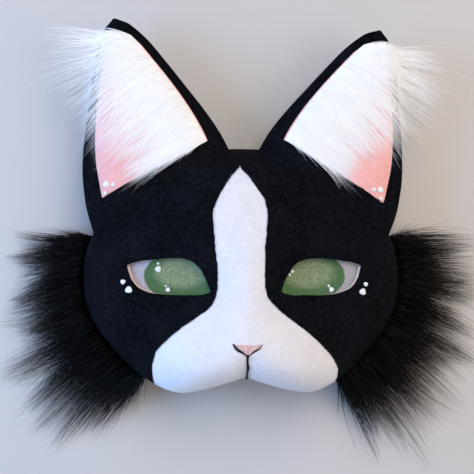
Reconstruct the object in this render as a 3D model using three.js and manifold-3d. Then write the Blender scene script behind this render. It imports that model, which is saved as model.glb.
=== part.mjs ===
// A cat mask that is worn over the upper face, lying face up as on a table.
// A thin moulded shell carries a black felt skin with a white felt blaze and muzzle let into it.
// Two padded ears with pink linings and long white fur sit on the crown, and long black fur
// fringes the cheeks. Painted mesh fills the eye openings, and an elastic strap lies inside.
// Millimetres. +Z comes out of the face, +Y runs towards the ears, +X is the viewer's right.

import * as THREE from "three";
import { mergeVertices } from "three/addons/utils/BufferGeometryUtils.js";
import Module from "manifold-3d";

const wasm = await Module();
wasm.setup();

// Face
const faceHalfWidth = 85;
const faceHalfHeight = 66;
const faceDepth = 47; // rim to the dome's top, before the relief
const domeRoundness = 2.2; // 2 is an ellipse's edge, more is squarer
const rimTuck = 0.04; // how far the rim draws in under the widest line, as a share of the reach
const shellWall = 1.6;
const feltWall = 1.5;
const feltHem = 0.5; // the felt is cut this far above the shell's lower edge
const gap = 0.3; // between any two pieces that touch
const ringsOnDome = 8;
const ringsOnSkirt = 2;
// The skin's spokes on one side, in degrees from the crown. They stand closer at the muzzle.
const spokeAngles = [0, 15, 30, 44, 58, 72, 86, 100, 112, 124, 134, 142, 149, 156, 164, 172, 180];

// Where the face's middle lies from the middle of everything, so that the origin is central.
const faceCentreY = -18.17;

// Eyes
const eyeLength = 43.5;
const eyeHeight = 19.8;
const eyeSpacing = 78.7; // between the two openings' middles
const eyeLift = -1.6; // the openings' middle above the face's middle
const shellEdgeShown = 0.8; // the shell's opening is this much smaller than the felt's
const meshWall = 0.8;
const meshOverlap = 4.5; // glued margin behind the shell

// White felt
const blazeHalfWidth = 14; // at its widest, on the forehead
const muzzleHalfWidth = 47;
const blazeTop = 56.7; // above the face's middle
const muzzleBottom = -70; // below the muzzle's lower edge, so that the white wraps under it

// Nose and mouth
const noseWidth = 12.6;
const noseHeight = 5.8;
const noseTop = -34.5; // above the face's middle, so negative
const noseWall = 1;
const noseArch = 0.7; // the upper edge's rise between its corners
const noseBluntness = 0.16; // the lower tip's width, as a share of the whole
const lineWidth = 1.1; // the painted line's bead
const lineWall = 0.8;
const mouthLineEnd = -52; // where the line meets the lip's edge

// Dots of white paint beside the eyes
const dotThickness = 0.9;

// Ears
const earLength = 97.5; // seat to tip
const earHalfWidth = 41.8;
const earWall = 5;
const earBorderAtTip = 4.2; // black edge round the lining
const earBorderAtFoot = 7.8;
const earRoot = 18; // how far the ear runs back below its seat, before the head trims it
const earTilt = 7; // degrees that the ears lean back
const earSideDrop = 13; // how far the sides curl down at the base
const earTipDrop = 5; // and at the tip
const earSideRoundness = 5;
const liningWall = 1.2;
const liningRecess = 1.5;
const liningLift = 1.3; // the lining's lower edge over the seat, at its outer corner
const liningSlope = 15; // and how much more it rises towards the crown
const earStep = 2; // how far the ear's face stands off the head at its seat
const earSeatAcross = 0.515; // the seat's place, as shares of the face's half width and height
const earSeatUp = 0.68;
const earRows = 8;
// The ear's columns, from its middle line out to its edge as shares of the half width.
const earColumns = [0, 0.5, 0.78, 0.92, 1];

// Fur
const earFurLength = 60;
const earFurWidth = 8;
const earFurThick = 2.4;
const earFurBacking = 2;
const earFurClearance = 0.6; // the straight runs of a lock pass over the ear's curve
const cheekFurLength = 58;
const cheekFurWidth = 11;
const cheekFurThick = 3.2;
const cheekFurBacking = 2.2;
const cheekFurFoot = 0.7; // the backing strip's lower edge
const cheekFurHeight = 9; // and its upper edge
const cheekFurRise = 130; // degrees from the crown, where the strip begins to rise with the rim

// Elastic strap
const strapWidth = 18;
const strapWall = 1.4;
const strapClearance = 1.2; // above the surface that the mask lies on
const strapEndAngle = 84; // degrees from the crown, where the glued ends begin
const strapGluedArc = 13;
const strapSlack = 0.2; // how far it hangs in at the crown, as a share of the reach
const strapSteps = 14;

// The rim, a row for each direction from the face's middle. Angles are degrees from the crown,
// reach is a share of the face's half width and height, fullness is how far out the dome stays
// high, and waist and rim are the widest line's and the lower edge's heights over faceDepth.
const rimTable = [
  { at: "crown", angle: 0, reach: 1.015, fullness: 2.9, waist: 0.2, rim: 0 },
  { at: "crown side", angle: 25, reach: 1.03, fullness: 2.7, waist: 0.2, rim: 0 },
  { at: "ear seat", angle: 42, reach: 1.005, fullness: 2.5, waist: 0.22, rim: 0 },
  { at: "temple", angle: 60, reach: 0.99, fullness: 2.4, waist: 0.25, rim: 0 },
  { at: "cheek top", angle: 77, reach: 0.995, fullness: 2.4, waist: 0.26, rim: 0 },
  { at: "cheek", angle: 92, reach: 1.0, fullness: 2.4, waist: 0.26, rim: 0 },
  { at: "lower cheek", angle: 108, reach: 1.012, fullness: 2.5, waist: 0.25, rim: 0 },
  { at: "jowl", angle: 124, reach: 1.01, fullness: 2.7, waist: 0.25, rim: 0 },
  { at: "muzzle side", angle: 136, reach: 1.02, fullness: 3.4, waist: 0.32, rim: 0.02 },
  { at: "muzzle corner", angle: 147, reach: 1.02, fullness: 5.5, waist: 0.58, rim: 0.3 },
  { at: "muzzle lobe", angle: 156, reach: 1, fullness: 7, waist: 0.74, rim: 0.52 },
  { at: "muzzle inner", angle: 164, reach: 0.92, fullness: 7, waist: 0.8, rim: 0.58 },
  { at: "lip", angle: 172, reach: 0.84, fullness: 7, waist: 0.84, rim: 0.62 },
  { at: "lip notch", angle: 180, reach: 0.79, fullness: 7, waist: 0.85, rim: 0.64 },
];

// Bumps and dips on the dome, as shares: across of the half width, up of the half height, rise of
// the depth. A row with some across is made on both sides.
const reliefTable = [
  { part: "forehead", across: 0, up: 0.45, wide: 0.5, tall: 0.3, rise: 0.04 },
  { part: "nose bridge", across: 0, up: -0.12, wide: 0.17, tall: 0.42, rise: 0.12 },
  { part: "brow", across: 0.42, up: 0.3, wide: 0.28, tall: 0.17, rise: 0.06 },
  { part: "eye socket", across: 0.4, up: -0.06, wide: 0.26, tall: 0.2, rise: -0.07 },
  { part: "cheekbone", across: 0.66, up: -0.3, wide: 0.24, tall: 0.24, rise: 0.07 },
  { part: "muzzle", across: 0, up: -0.62, wide: 0.4, tall: 0.34, rise: 0.3 },
  { part: "muzzle lobe", across: 0.29, up: -0.74, wide: 0.24, tall: 0.24, rise: 0.12 },
  { part: "lip groove", across: 0, up: -0.8, wide: 0.05, tall: 0.2, rise: -0.07 },
];

// Eye outline from the outer corner: along is a share of the length, the lids of the height.
const upperLid = [
  { along: 0, up: 0.3 },
  { along: 0.14, up: 0.39 },
  { along: 0.3, up: 0.445 },
  { along: 0.5, up: 0.495 },
  { along: 0.69, up: 0.47 },
  { along: 0.83, up: 0.31 },
  { along: 0.93, up: -0.02 },
  { along: 1, up: -0.4 },
];
const lowerLid = [
  { along: 1, up: -0.4 },
  { along: 0.89, up: -0.475 },
  { along: 0.7, up: -0.49 },
  { along: 0.46, up: -0.48 },
  { along: 0.27, up: -0.415 },
  { along: 0.12, up: -0.26 },
  { along: 0.035, up: 0.02 },
  { along: 0, up: 0.3 },
];

// Blaze and muzzle, from the tip down: down is a share of the way from the blaze's top to the
// muzzle's bottom, each half width is a share of the blaze's or of the muzzle's, and shift is how
// far the hand-cut shape lies off the middle, as a share of the blaze's half width.
const blazeTable = [
  { down: 0, blaze: 0, muzzle: 0, shift: -0.18 },
  { down: 0.06, blaze: 0.37, muzzle: 0, shift: -0.2 },
  { down: 0.14, blaze: 0.815, muzzle: 0, shift: -0.18 },
  { down: 0.187, blaze: 0.975, muzzle: 0, shift: -0.2 },
  { down: 0.231, blaze: 1, muzzle: 0, shift: -0.22 },
  { down: 0.35, blaze: 0.89, muzzle: 0, shift: -0.22 },
  { down: 0.45, blaze: 0.82, muzzle: 0, shift: -0.18 },
  { down: 0.512, blaze: 0.845, muzzle: 0, shift: -0.18 },
  { down: 0.552, blaze: 0.94, muzzle: 0, shift: -0.16 },
  { down: 0.592, blaze: 0, muzzle: 0.365, shift: -0.12 },
  { down: 0.62, blaze: 0, muzzle: 0.46, shift: -0.14 },
  { down: 0.676, blaze: 0, muzzle: 0.67, shift: -0.16 },
  { down: 0.712, blaze: 0, muzzle: 0.78, shift: -0.16 },
  { down: 0.754, blaze: 0, muzzle: 0.892, shift: -0.14 },
  { down: 0.792, blaze: 0, muzzle: 0.957, shift: -0.06 },
  { down: 0.84, blaze: 0, muzzle: 1, shift: 0.02 },
  { down: 0.9, blaze: 0, muzzle: 0.98, shift: 0.04 },
  { down: 1, blaze: 0, muzzle: 0.92, shift: 0.04 },
];

// Ear outline: along is a share of the length, half a share of the half width.
const earTable = [
  { along: 0, half: 1 },
  { along: 0.12, half: 0.972 },
  { along: 0.24, half: 0.915 },
  { along: 0.38, half: 0.805 },
  { along: 0.54, half: 0.652 },
  { along: 0.7, half: 0.495 },
  { along: 0.84, half: 0.345 },
  { along: 0.94, half: 0.19 },
  { along: 1, half: 0.05 },
];

// The two ears lean out and are cut by slightly different amounts, as the hand-made ones are.
const earPair = [
  { name: "left", side: -1, lean: 16, stretch: 1 },
  { name: "right", side: 1, lean: 19.5, stretch: 0.975 },
];

// White paint dots by the eyes' outer corners: across and up from the outer corner, over the
// eye's length and height.
const dotTable = [
  { name: "left_upper", side: -1, across: 0.032, up: -0.45, radius: 1.3 },
  { name: "left_lower", side: -1, across: -0.037, up: -0.657, radius: 1.75 },
  { name: "right_upper", side: 1, across: 0.037, up: -0.505, radius: 1.2 },
  { name: "right_lower", side: 1, across: -0.005, up: -0.702, radius: 1.75 },
];

// White fur in the ears, from the base to the tip: along the lining's inner edge, the heading in
// degrees from straight out towards the tip, and the length as a share.
const earFurTable = [
  { along: 0.2, heading: -20, length: 1 },
  { along: 0.31, heading: -19, length: 1 },
  { along: 0.42, heading: -17, length: 0.98 },
  { along: 0.53, heading: -13, length: 0.95 },
  { along: 0.63, heading: -8, length: 0.92 },
  { along: 0.72, heading: -2, length: 0.9 },
  { along: 0.8, heading: 6, length: 0.86 },
  { along: 0.86, heading: 14, length: 0.8 },
];

// Black fur on the cheeks, from the temple to the muzzle: place round the rim, heading in
// degrees below straight out, and length as a share.
const cheekFurTable = [
  { angle: 72, heading: -12, length: 0.8 },
  { angle: 81, heading: -4, length: 0.88 },
  { angle: 90, heading: 4, length: 0.95 },
  { angle: 99, heading: 12, length: 1 },
  { angle: 108, heading: 20, length: 1.02 },
  { angle: 117, heading: 29, length: 1.02 },
  { angle: 126, heading: 40, length: 1.02 },
  { angle: 134, heading: 53, length: 1.02 },
  { angle: 142, heading: 68, length: 0.98 },
];
// Three layers of locks lie on each other: start and end heights over the backing's height.
const cheekFurLayers = [
  { layer: "under", shift: 0, start: 0.28, end: 0.15, arch: 0.03, reach: 0.94 },
  { layer: "middle", shift: 0.5, start: 0.55, end: 0.35, arch: 0.22, reach: 1 },
  { layer: "over", shift: 0.2, start: 0.8, end: 0.66, arch: 0.38, reach: 0.8 },
];

const degrees = Math.PI / 180;
const mix = THREE.MathUtils.lerp;

// A column of a table at a place between its rows, on a smooth curve through them.
function readTable(rows, key, place, column) {
  const last = rows.length - 1;
  const inside = THREE.MathUtils.clamp(place, rows[0][key], rows[last][key]);
  let i = 0;
  while (i < last - 1 && rows[i + 1][key] < inside) i += 1;
  const before = rows[Math.max(i - 1, 0)];
  const low = rows[i];
  const high = rows[i + 1];
  const after = rows[Math.min(i + 2, last)];
  const span = high[key] - low[key];
  const t = (inside - low[key]) / span;
  const slopeIn = i > 0 ? ((high[column] - before[column]) / (high[key] - before[key])) * span : 0;
  const slopeOut = i < last - 1 ? ((after[column] - low[column]) / (after[key] - low[key])) * span : 0;
  const t2 = t * t;
  const t3 = t2 * t;
  return (
    (2 * t3 - 3 * t2 + 1) * low[column] +
    (t3 - 2 * t2 + t) * slopeIn +
    (3 * t2 - 2 * t3) * high[column] +
    (t3 - t2) * slopeOut
  );
}

// The rim's row for a direction, on either side of the face.
function rimAt(angle) {
  const turned = Math.abs(((angle + 180) % 360 + 360) % 360 - 180);
  const read = (column) => readTable(rimTable, "angle", turned, column);
  return {
    reach: read("reach"),
    fullness: read("fullness"),
    waist: read("waist") * faceDepth,
    rim: Math.max(0, read("rim")) * faceDepth,
  };
}

function reliefAt(u, v) {
  let rise = 0;
  for (const row of reliefTable) {
    for (const side of row.across > 0 ? [-1, 1] : [1]) {
      const across = (u - side * row.across) / row.wide;
      const up = (v - row.up) / row.tall;
      rise += row.rise * Math.exp(-across * across - up * up);
    }
  }
  return rise * faceDepth;
}

// Height of the shell's outside over the rim's plane, where s is the share of the reach.
function domeHeight(u, v, s, row) {
  const falloff = Math.pow(Math.max(0, 1 - Math.pow(s, row.fullness)), 1 / domeRoundness);
  return row.waist + (faceDepth - row.waist + reliefAt(u, v)) * falloff;
}

// The same height at a place in millimetres from the face's middle.
function faceHeight(x, y) {
  const u = x / faceHalfWidth;
  const v = y / faceHalfHeight;
  const row = rimAt(Math.atan2(u, v) / degrees);
  return domeHeight(u, v, Math.min(1, Math.hypot(u, v) / row.reach), row);
}

// A point of the shell's outside: ring is 0 at the middle, 1 at the widest line and 2 at the rim.
function facePoint(ring, angle) {
  const row = rimAt(angle);
  const skirt = Math.max(0, ring - 1);
  const s = ring < 1 ? Math.sin((ring * Math.PI) / 2) : 1 - rimTuck * skirt * skirt;
  const u = s * row.reach * Math.sin(angle * degrees);
  const v = s * row.reach * Math.cos(angle * degrees);
  const z = ring < 1 ? domeHeight(u, v, s, row) : mix(row.waist, row.rim, skirt);
  return new THREE.Vector3(u * faceHalfWidth, v * faceHalfHeight, z);
}

function geometryOf(points, faces) {
  const geometry = new THREE.BufferGeometry();
  geometry.setAttribute("position", new THREE.Float32BufferAttribute(points.flatMap((p) => p.toArray()), 3));
  geometry.setIndex(faces.flat());
  return geometry;
}

function solidOf(geometry) {
  const bare = geometry.clone();
  bare.deleteAttribute("normal");
  bare.deleteAttribute("uv");
  const merged = mergeVertices(bare, 1e-4);
  return new wasm.Manifold(
    new wasm.Mesh({
      numProp: 3,
      vertProperties: new Float32Array(merged.attributes.position.array),
      triVerts: new Uint32Array(merged.index.array),
    }),
  );
}

function meshOf(name, solid, material) {
  const made = solid.getMesh();
  const geometry = new THREE.BufferGeometry();
  geometry.setAttribute("position", new THREE.BufferAttribute(made.vertProperties, 3));
  geometry.setIndex(new THREE.BufferAttribute(made.triVerts, 1));
  geometry.computeVertexNormals();
  const mesh = new THREE.Mesh(geometry, material);
  mesh.name = name;
  return mesh;
}

// An upright prism over a closed outline of points.
function prismOf(outline, low, high) {
  const shape = new THREE.Shape(outline);
  const geometry = new THREE.ExtrudeGeometry(shape, { depth: high - low, bevelEnabled: false });
  geometry.translate(0, 0, low);
  return solidOf(geometry);
}

const spokes = [...spokeAngles, ...spokeAngles.slice(1, -1).map((angle) => 360 - angle).reverse()];
const spokeCount = spokes.length;
const ringCount = ringsOnDome + ringsOnSkirt;
const faceGrid = [facePoint(0, 0)];
for (let r = 1; r <= ringCount; r += 1) {
  const ring = r <= ringsOnDome ? r / ringsOnDome : 1 + (r - ringsOnDome) / ringsOnSkirt;
  for (const angle of spokes) faceGrid.push(facePoint(ring, angle));
}
const gridFaces = [];
const gridIndex = (r, i) => 1 + (r - 1) * spokeCount + (i % spokeCount);
for (let i = 0; i < spokeCount; i += 1) {
  gridFaces.push([0, gridIndex(1, i + 1), gridIndex(1, i)]);
  for (let r = 1; r < ringCount; r += 1) {
    gridFaces.push([gridIndex(r, i), gridIndex(r, i + 1), gridIndex(r + 1, i + 1)]);
    gridFaces.push([gridIndex(r, i), gridIndex(r + 1, i + 1), gridIndex(r + 1, i)]);
  }
}
const gridSurface = geometryOf(faceGrid, gridFaces);
gridSurface.computeVertexNormals();
const gridNormals = faceGrid.map((point, i) => {
  const normal = new THREE.Vector3().fromBufferAttribute(gridSurface.attributes.normal, i);
  if (i >= gridIndex(ringCount, 0)) normal.z = 0; // the rim's edge stays in its own plane
  return normal.normalize();
});

// A skin over the whole face, between two distances from the shell's outside.
function faceLayer(inner, outer) {
  const outside = faceGrid.map((p, i) => p.clone().addScaledVector(gridNormals[i], outer));
  const inside = faceGrid.map((p, i) => p.clone().addScaledVector(gridNormals[i], inner));
  const count = faceGrid.length;
  const faces = [...gridFaces, ...gridFaces.map(([a, b, c]) => [a + count, c + count, b + count])];
  for (let i = 0; i < spokeCount; i += 1) {
    const [a, b] = [gridIndex(ringCount, i), gridIndex(ringCount, i + 1)];
    faces.push([a, b, b + count], [a, b + count, a + count]);
  }
  return solidOf(geometryOf([...outside, ...inside], faces));
}

// Everything under the skin at this distance, down past the rim's plane.
function faceBulk(outer, floor) {
  const outside = faceGrid.map((p, i) => p.clone().addScaledVector(gridNormals[i], outer));
  const faces = [...gridFaces];
  const base = outside.length;
  for (let i = 0; i < spokeCount; i += 1) {
    const edge = outside[gridIndex(ringCount, i)];
    outside.push(new THREE.Vector3(edge.x, edge.y, floor));
  }
  outside.push(new THREE.Vector3(0, 0, floor));
  for (let i = 0; i < spokeCount; i += 1) {
    const [a, b] = [gridIndex(ringCount, i), gridIndex(ringCount, i + 1)];
    const [c, d] = [base + i, base + ((i + 1) % spokeCount)];
    faces.push([a, b, d], [a, d, c], [c, d, base + spokeCount]);
  }
  return solidOf(geometryOf(outside, faces));
}

// Eye outline on one side, grown outwards by a margin.
function eyeOutline(side, margin) {
  const lid = (rows) =>
    rows.map((row) => {
      const x = side * (eyeSpacing / 2 + (0.5 - row.along) * eyeLength);
      return new THREE.Vector2(x, eyeLift + row.up * eyeHeight);
    });
  const shape = new THREE.Shape();
  const upper = lid(upperLid);
  const lower = lid(lowerLid);
  shape.moveTo(upper[0].x, upper[0].y);
  shape.splineThru(upper.slice(1));
  shape.splineThru(lower.slice(1));
  const middle = new THREE.Vector2((side * eyeSpacing) / 2, eyeLift);
  const grow = new THREE.Vector2(1 + (2 * margin) / eyeLength, 1 + (2 * margin) / eyeHeight);
  const points = shape.extractPoints(2).shape;
  if (points[0].distanceTo(points[points.length - 1]) < 1e-6) points.pop();
  return points.map((p) => p.clone().sub(middle).multiply(grow).add(middle));
}

// White felt outline, drawn in by an inset so that its edge stays clear of the black felt's.
function blazeOutline(inset) {
  const steps = 24;
  const edge = (sign) => {
    const points = [];
    for (let i = 0; i <= steps; i += 1) {
      const down = i / steps;
      const read = (column) => readTable(blazeTable, "down", down, column);
      const half = Math.max(0, read("blaze") * blazeHalfWidth + read("muzzle") * muzzleHalfWidth);
      const x = read("shift") * blazeHalfWidth + sign * half;
      points.push(new THREE.Vector2(x, mix(blazeTop, muzzleBottom, down)));
    }
    return points.map((p, i) => {
      if (i === 0) return new THREE.Vector2(p.x, p.y - 2 * inset);
      const along = points[Math.min(i + 1, steps)].clone().sub(points[i - 1]).normalize();
      return new THREE.Vector2(p.x + sign * along.y * inset, p.y - sign * along.x * inset);
    });
  };
  return [...edge(1), ...edge(-1).slice(1).reverse()];
}

const above = faceDepth * 3;
const below = -faceDepth;
const feltOut = gap + feltWall;
const trimIn = feltOut + gap;

const shellMaterial = new THREE.MeshStandardMaterial({ color: 0xd9d5d0, roughness: 0.55, metalness: 0 });
const blackFelt = new THREE.MeshStandardMaterial({ color: 0x0d0e12, roughness: 0.95, metalness: 0 });
const whiteFelt = new THREE.MeshStandardMaterial({ color: 0xeceaf0, roughness: 0.95, metalness: 0 });
const pinkFelt = new THREE.MeshStandardMaterial({ color: 0xf3aeb0, roughness: 0.9, metalness: 0 });
const whiteFur = new THREE.MeshStandardMaterial({ color: 0xf4f1ee, roughness: 0.7, metalness: 0 });
const blackFur = new THREE.MeshStandardMaterial({ color: 0x120f10, roughness: 0.6, metalness: 0 });
const eyeMesh = new THREE.MeshStandardMaterial({ color: 0x5f8f55, roughness: 0.7, metalness: 0 });
const nosePaint = new THREE.MeshStandardMaterial({ color: 0xe9a79c, roughness: 0.45, metalness: 0 });
const linePaint = new THREE.MeshStandardMaterial({ color: 0x111013, roughness: 0.3, metalness: 0 });
const dotPaint = new THREE.MeshStandardMaterial({ color: 0xf5f5f2, roughness: 0.3, metalness: 0 });
const strapElastic = new THREE.MeshStandardMaterial({ color: 0x17171a, roughness: 0.85, metalness: 0 });

const mask = new THREE.Group();
mask.position.set(0, faceCentreY, 0);

function makeShell() {
  let shell = faceLayer(-shellWall, 0);
  for (const side of [-1, 1]) {
    shell = shell.subtract(prismOf(eyeOutline(side, -shellEdgeShown), below, above));
  }
  return meshOf("mask_shell", shell, shellMaterial);
}

function makeBlackFelt() {
  const whole = faceLayer(gap, feltOut).trimByPlane([0, 0, 1], feltHem);
  let felt = whole.subtract(prismOf(blazeOutline(0), below, above));
  for (const side of [-1, 1]) felt = felt.subtract(prismOf(eyeOutline(side, 0), below, above));
  return meshOf("black_felt", felt, blackFelt);
}

function makeWhiteFelt() {
  const felt = faceLayer(gap, feltOut).intersect(prismOf(blazeOutline(gap), below, above));
  return meshOf("white_felt", felt, whiteFelt);
}

function makeEyeMesh(name, side) {
  const top = -shellWall - gap;
  const outline = eyeOutline(side, meshOverlap).filter((point, i) => i % 2 === 0);
  const solid = faceLayer(top - meshWall, top).intersect(prismOf(outline, below, above));
  return meshOf("eye_mesh_" + name, solid, eyeMesh);
}

function makeNose() {
  const half = noseWidth / 2;
  const bottom = noseTop - noseHeight;
  const outline = [
    new THREE.Vector2(-half, noseTop),
    new THREE.Vector2(-half * 0.35, noseTop + noseArch),
    new THREE.Vector2(half * 0.35, noseTop + noseArch),
    new THREE.Vector2(half, noseTop),
    new THREE.Vector2(half * noseBluntness, bottom),
    new THREE.Vector2(-half * noseBluntness, bottom),
  ];
  const solid = faceLayer(trimIn, trimIn + noseWall).intersect(prismOf(outline, below, above));
  return meshOf("nose", solid, nosePaint);
}

// The painted line runs under the nose's two lower edges and down to the lip.
function makeMouthLine() {
  const half = noseWidth / 2;
  const stem = lineWidth / 2;
  const point = half * noseBluntness;
  const under = noseTop - noseHeight - gap;
  const right = [
    new THREE.Vector2(point, under),
    new THREE.Vector2(half + gap, noseTop - gap),
    new THREE.Vector2(half + lineWidth, noseTop),
    new THREE.Vector2(half, noseTop - gap - lineWidth * 1.3),
    new THREE.Vector2(stem, under - lineWidth * 1.2),
    new THREE.Vector2(stem, mouthLineEnd),
  ];
  const left = right.map((p) => new THREE.Vector2(-p.x, p.y)).reverse();
  const outline = [...right, ...left];
  const solid = faceLayer(trimIn, trimIn + lineWall).intersect(prismOf(outline, below, above));
  return meshOf("mouth_line", solid, linePaint);
}

// The felt's outward direction at a place on the face.
function faceNormal(x, y) {
  const step = 0.5;
  const slopeX = (faceHeight(x + step, y) - faceHeight(x - step, y)) / (2 * step);
  const slopeY = (faceHeight(x, y + step) - faceHeight(x, y - step)) / (2 * step);
  return new THREE.Vector3(-slopeX, -slopeY, 1).normalize();
}

function makeDot(row) {
  const x = row.side * (eyeSpacing / 2 + eyeLength / 2 + row.across * eyeLength);
  const y = eyeLift + (upperLid[0].up + row.up) * eyeHeight;
  const normal = faceNormal(x, y);
  const dot = new THREE.Mesh(new THREE.SphereGeometry(row.radius, 10, 4), dotPaint);
  dot.name = "paint_dot_" + row.name;
  dot.scale.set(1, dotThickness / (2 * row.radius), 1);
  dot.quaternion.setFromUnitVectors(new THREE.Vector3(0, 1, 0), normal);
  dot.position.set(x, y, faceHeight(x, y)).addScaledVector(normal, trimIn + dotThickness / 2);
  return dot;
}

// A closed skin of given sections: each section is the same number of points, in order round.
function loft(sections) {
  const count = sections[0].length;
  const points = sections.flat();
  const faces = [];
  const at = (s, i) => s * count + (i % count);
  for (let s = 0; s < sections.length - 1; s += 1) {
    for (let i = 0; i < count; i += 1) {
      faces.push([at(s, i), at(s, i + 1), at(s + 1, i + 1)], [at(s, i), at(s + 1, i + 1), at(s + 1, i)]);
    }
  }
  const end = sections.length - 1;
  for (let i = 1; i < count - 1; i += 1) {
    faces.push([at(0, 0), at(0, i + 1), at(0, i)], [at(end, 0), at(end, i), at(end, i + 1)]);
  }
  const solid = solidOf(geometryOf(points, faces));
  return solid.volume() < 0 ? solidOf(geometryOf(points, faces.map(([a, b, c]) => [a, c, b]))) : solid;
}

// A lock of fur: flat and pointed, from a root along a level heading. Heights are absolute, and
// the lock stays over the ground that it is given.
const lockStations = [
  { along: 0, width: 0.8, thick: 0.8, arch: 0 },
  { along: 0.35, width: 1, thick: 1, arch: 0.85 },
  { along: 0.75, width: 0.58, thick: 0.6, arch: 0.7 },
  { along: 1, width: 0.1, thick: 0.2, arch: 0 },
];
function furLock({ root, turn, bend, length, width, thick, endHeight, arch, ground = () => -Infinity }) {
  return loft(
    lockStations.map((row) => {
      const heading = turn + bend * row.along;
      const forward = new THREE.Vector3(Math.cos(heading), Math.sin(heading), 0);
      const sideways = new THREE.Vector3(-Math.sin(heading), Math.cos(heading), 0);
      const middle = root.clone().addScaledVector(forward, row.along * length);
      const w = (width * row.width) / 2;
      const t = (thick * row.thick) / 2;
      const under = (d) => ground(middle.x + sideways.x * d, middle.y + sideways.y * d);
      const clear = Math.max(under(-w), under(0), under(w));
      middle.z = Math.max(mix(root.z, endHeight, row.along) + arch * row.arch, clear + t);
      return [
        middle.clone().addScaledVector(sideways, -w).setZ(middle.z - t),
        middle.clone().addScaledVector(sideways, w).setZ(middle.z - t),
        middle.clone().setZ(middle.z + t),
      ];
    }),
  );
}

// Ear sizes at a distance from the seat: its own half width, and the curl of its sides.
function earHalf(y) {
  return readTable(earTable, "along", y / earLength, "half") * earHalfWidth;
}
function earFront(x, y) {
  const share = THREE.MathUtils.clamp(y / earLength, 0, 1);
  const across = Math.min(1.15, Math.abs(x) / Math.max(earHalf(y), earBorderAtFoot));
  return -mix(earSideDrop, earTipDrop, share) * Math.pow(across, earSideRoundness);
}

// A skin over the ear between two distances from its front.
function earLayer(low, high) {
  const points = [];
  const faces = [];
  const shares = [...earColumns.slice(1).map((share) => -share).reverse(), ...earColumns];
  const columns = shares.length;
  for (const offset of [high, low]) {
    for (let j = 0; j <= earRows; j += 1) {
      const y = mix(-earRoot, earLength, j / earRows);
      for (const share of shares) {
        const x = share * earHalf(y);
        points.push(new THREE.Vector3(x, y, earFront(x, y) + offset));
      }
    }
  }
  const under = columns * (earRows + 1);
  const at = (i, j) => j * columns + i;
  const wall = (a, b) => faces.push([a, a + under, b + under], [a, b + under, b]);
  for (let j = 0; j < earRows; j += 1) {
    for (let i = 0; i < columns - 1; i += 1) {
      const [a, b, c, d] = [at(i, j), at(i + 1, j), at(i + 1, j + 1), at(i, j + 1)];
      faces.push([a, b, c], [a, c, d], [a + under, c + under, b + under], [a + under, d + under, c + under]);
    }
  }
  for (let i = 0; i < columns - 1; i += 1) {
    wall(at(i, 0), at(i + 1, 0));
    wall(at(i + 1, earRows), at(i, earRows));
  }
  for (let j = 0; j < earRows; j += 1) {
    wall(at(columns - 1, j), at(columns - 1, j + 1));
    wall(at(0, j + 1), at(0, j));
  }
  return solidOf(geometryOf(points, faces));
}

// The part of that skin over an outline.
function earPatch(low, high, outline) {
  return earLayer(low, high).intersect(prismOf(outline, -earSideDrop * 3, earSideDrop * 3));
}

// The lining's half width, and its lower edge, which rises towards the crown (the -x side here).
function liningHalf(y) {
  const toTip = THREE.MathUtils.smoothstep(y / earLength, 0, 0.6);
  return earHalf(y) - mix(earBorderAtFoot, earBorderAtTip, toTip);
}
function liningFoot(x) {
  return liningLift + liningSlope * (0.5 - (0.5 * x) / liningHalf(0));
}
const liningStations = [0, 0.15, 0.3, 0.45, 0.6, 0.75, 0.9];
function liningOutline(side, margin) {
  const tip = earLength - earBorderAtTip * 2;
  const edge = (sign) => {
    const foot = liningFoot(sign * liningHalf(0));
    return liningStations.map((share) => {
      const y = mix(foot, tip, share);
      return new THREE.Vector2(side * sign * (liningHalf(y) + margin), y + margin * (share - 0.5) * 2);
    });
  };
  return [...edge(1), new THREE.Vector2(0, tip + margin), ...edge(-1).reverse()];
}

// White fur: a thin backing on the crown side of the lining, and locks that sweep outwards.
const furBackingSteps = 4;
const furBackingTop = 0.86; // of the ear's length
const furBackingInnerShare = 0.35; // of the lining's half width, where the backing ends
function makeEarFur(name, side, squeeze, trim) {
  const inner = (y) => -liningHalf(y) + gap * 2;
  const floor = gap + earFurBacking / 2;
  const ground = (x, y) => {
    const overEar = Math.abs(x) < earHalf(y) + earBorderAtFoot;
    return overEar ? earFront(x, y) + floor + earFurClearance : -Infinity;
  };
  const backing = [];
  for (let i = 0; i <= furBackingSteps; i += 1) {
    const y = mix(liningFoot(-liningHalf(0)) + 1, earLength * furBackingTop, i / furBackingSteps);
    backing.push(new THREE.Vector2(side * inner(y), y));
  }
  for (let i = furBackingSteps; i >= 0; i -= 1) {
    const y = mix(liningFoot(0) + 2, earLength * furBackingTop, i / furBackingSteps);
    backing.push(new THREE.Vector2(side * inner(y) * furBackingInnerShare, y));
  }
  const pieces = [earPatch(gap, gap + earFurBacking, backing)];
  earFurTable.forEach((row, i) => {
    for (const start of i % 2 ? [0.15] : [0.15, 0.55]) {
      const y = row.along * earLength;
      const x = inner(y) * (1 - start);
      const root = new THREE.Vector3(side * (x - 0.5), y, earFront(x, y) + floor + earFurThick / 2);
      pieces.push(
        furLock({
          root,
          turn: side > 0 ? row.heading * degrees : Math.PI - row.heading * degrees,
          bend: side * (0.15 - 0.06 * (i % 3)),
          length: earFurLength * row.length * (1 - 0.18 * start),
          width: earFurWidth,
          thick: earFurThick,
          endHeight: root.z + 0.5 + 0.6 * start,
          arch: 1.5 + 2.2 * start,
          ground,
        }),
      );
    }
  });
  return meshOf("ear_fur_" + name, squeeze(wasm.Manifold.union(pieces)).subtract(trim), whiteFur);
}

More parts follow.
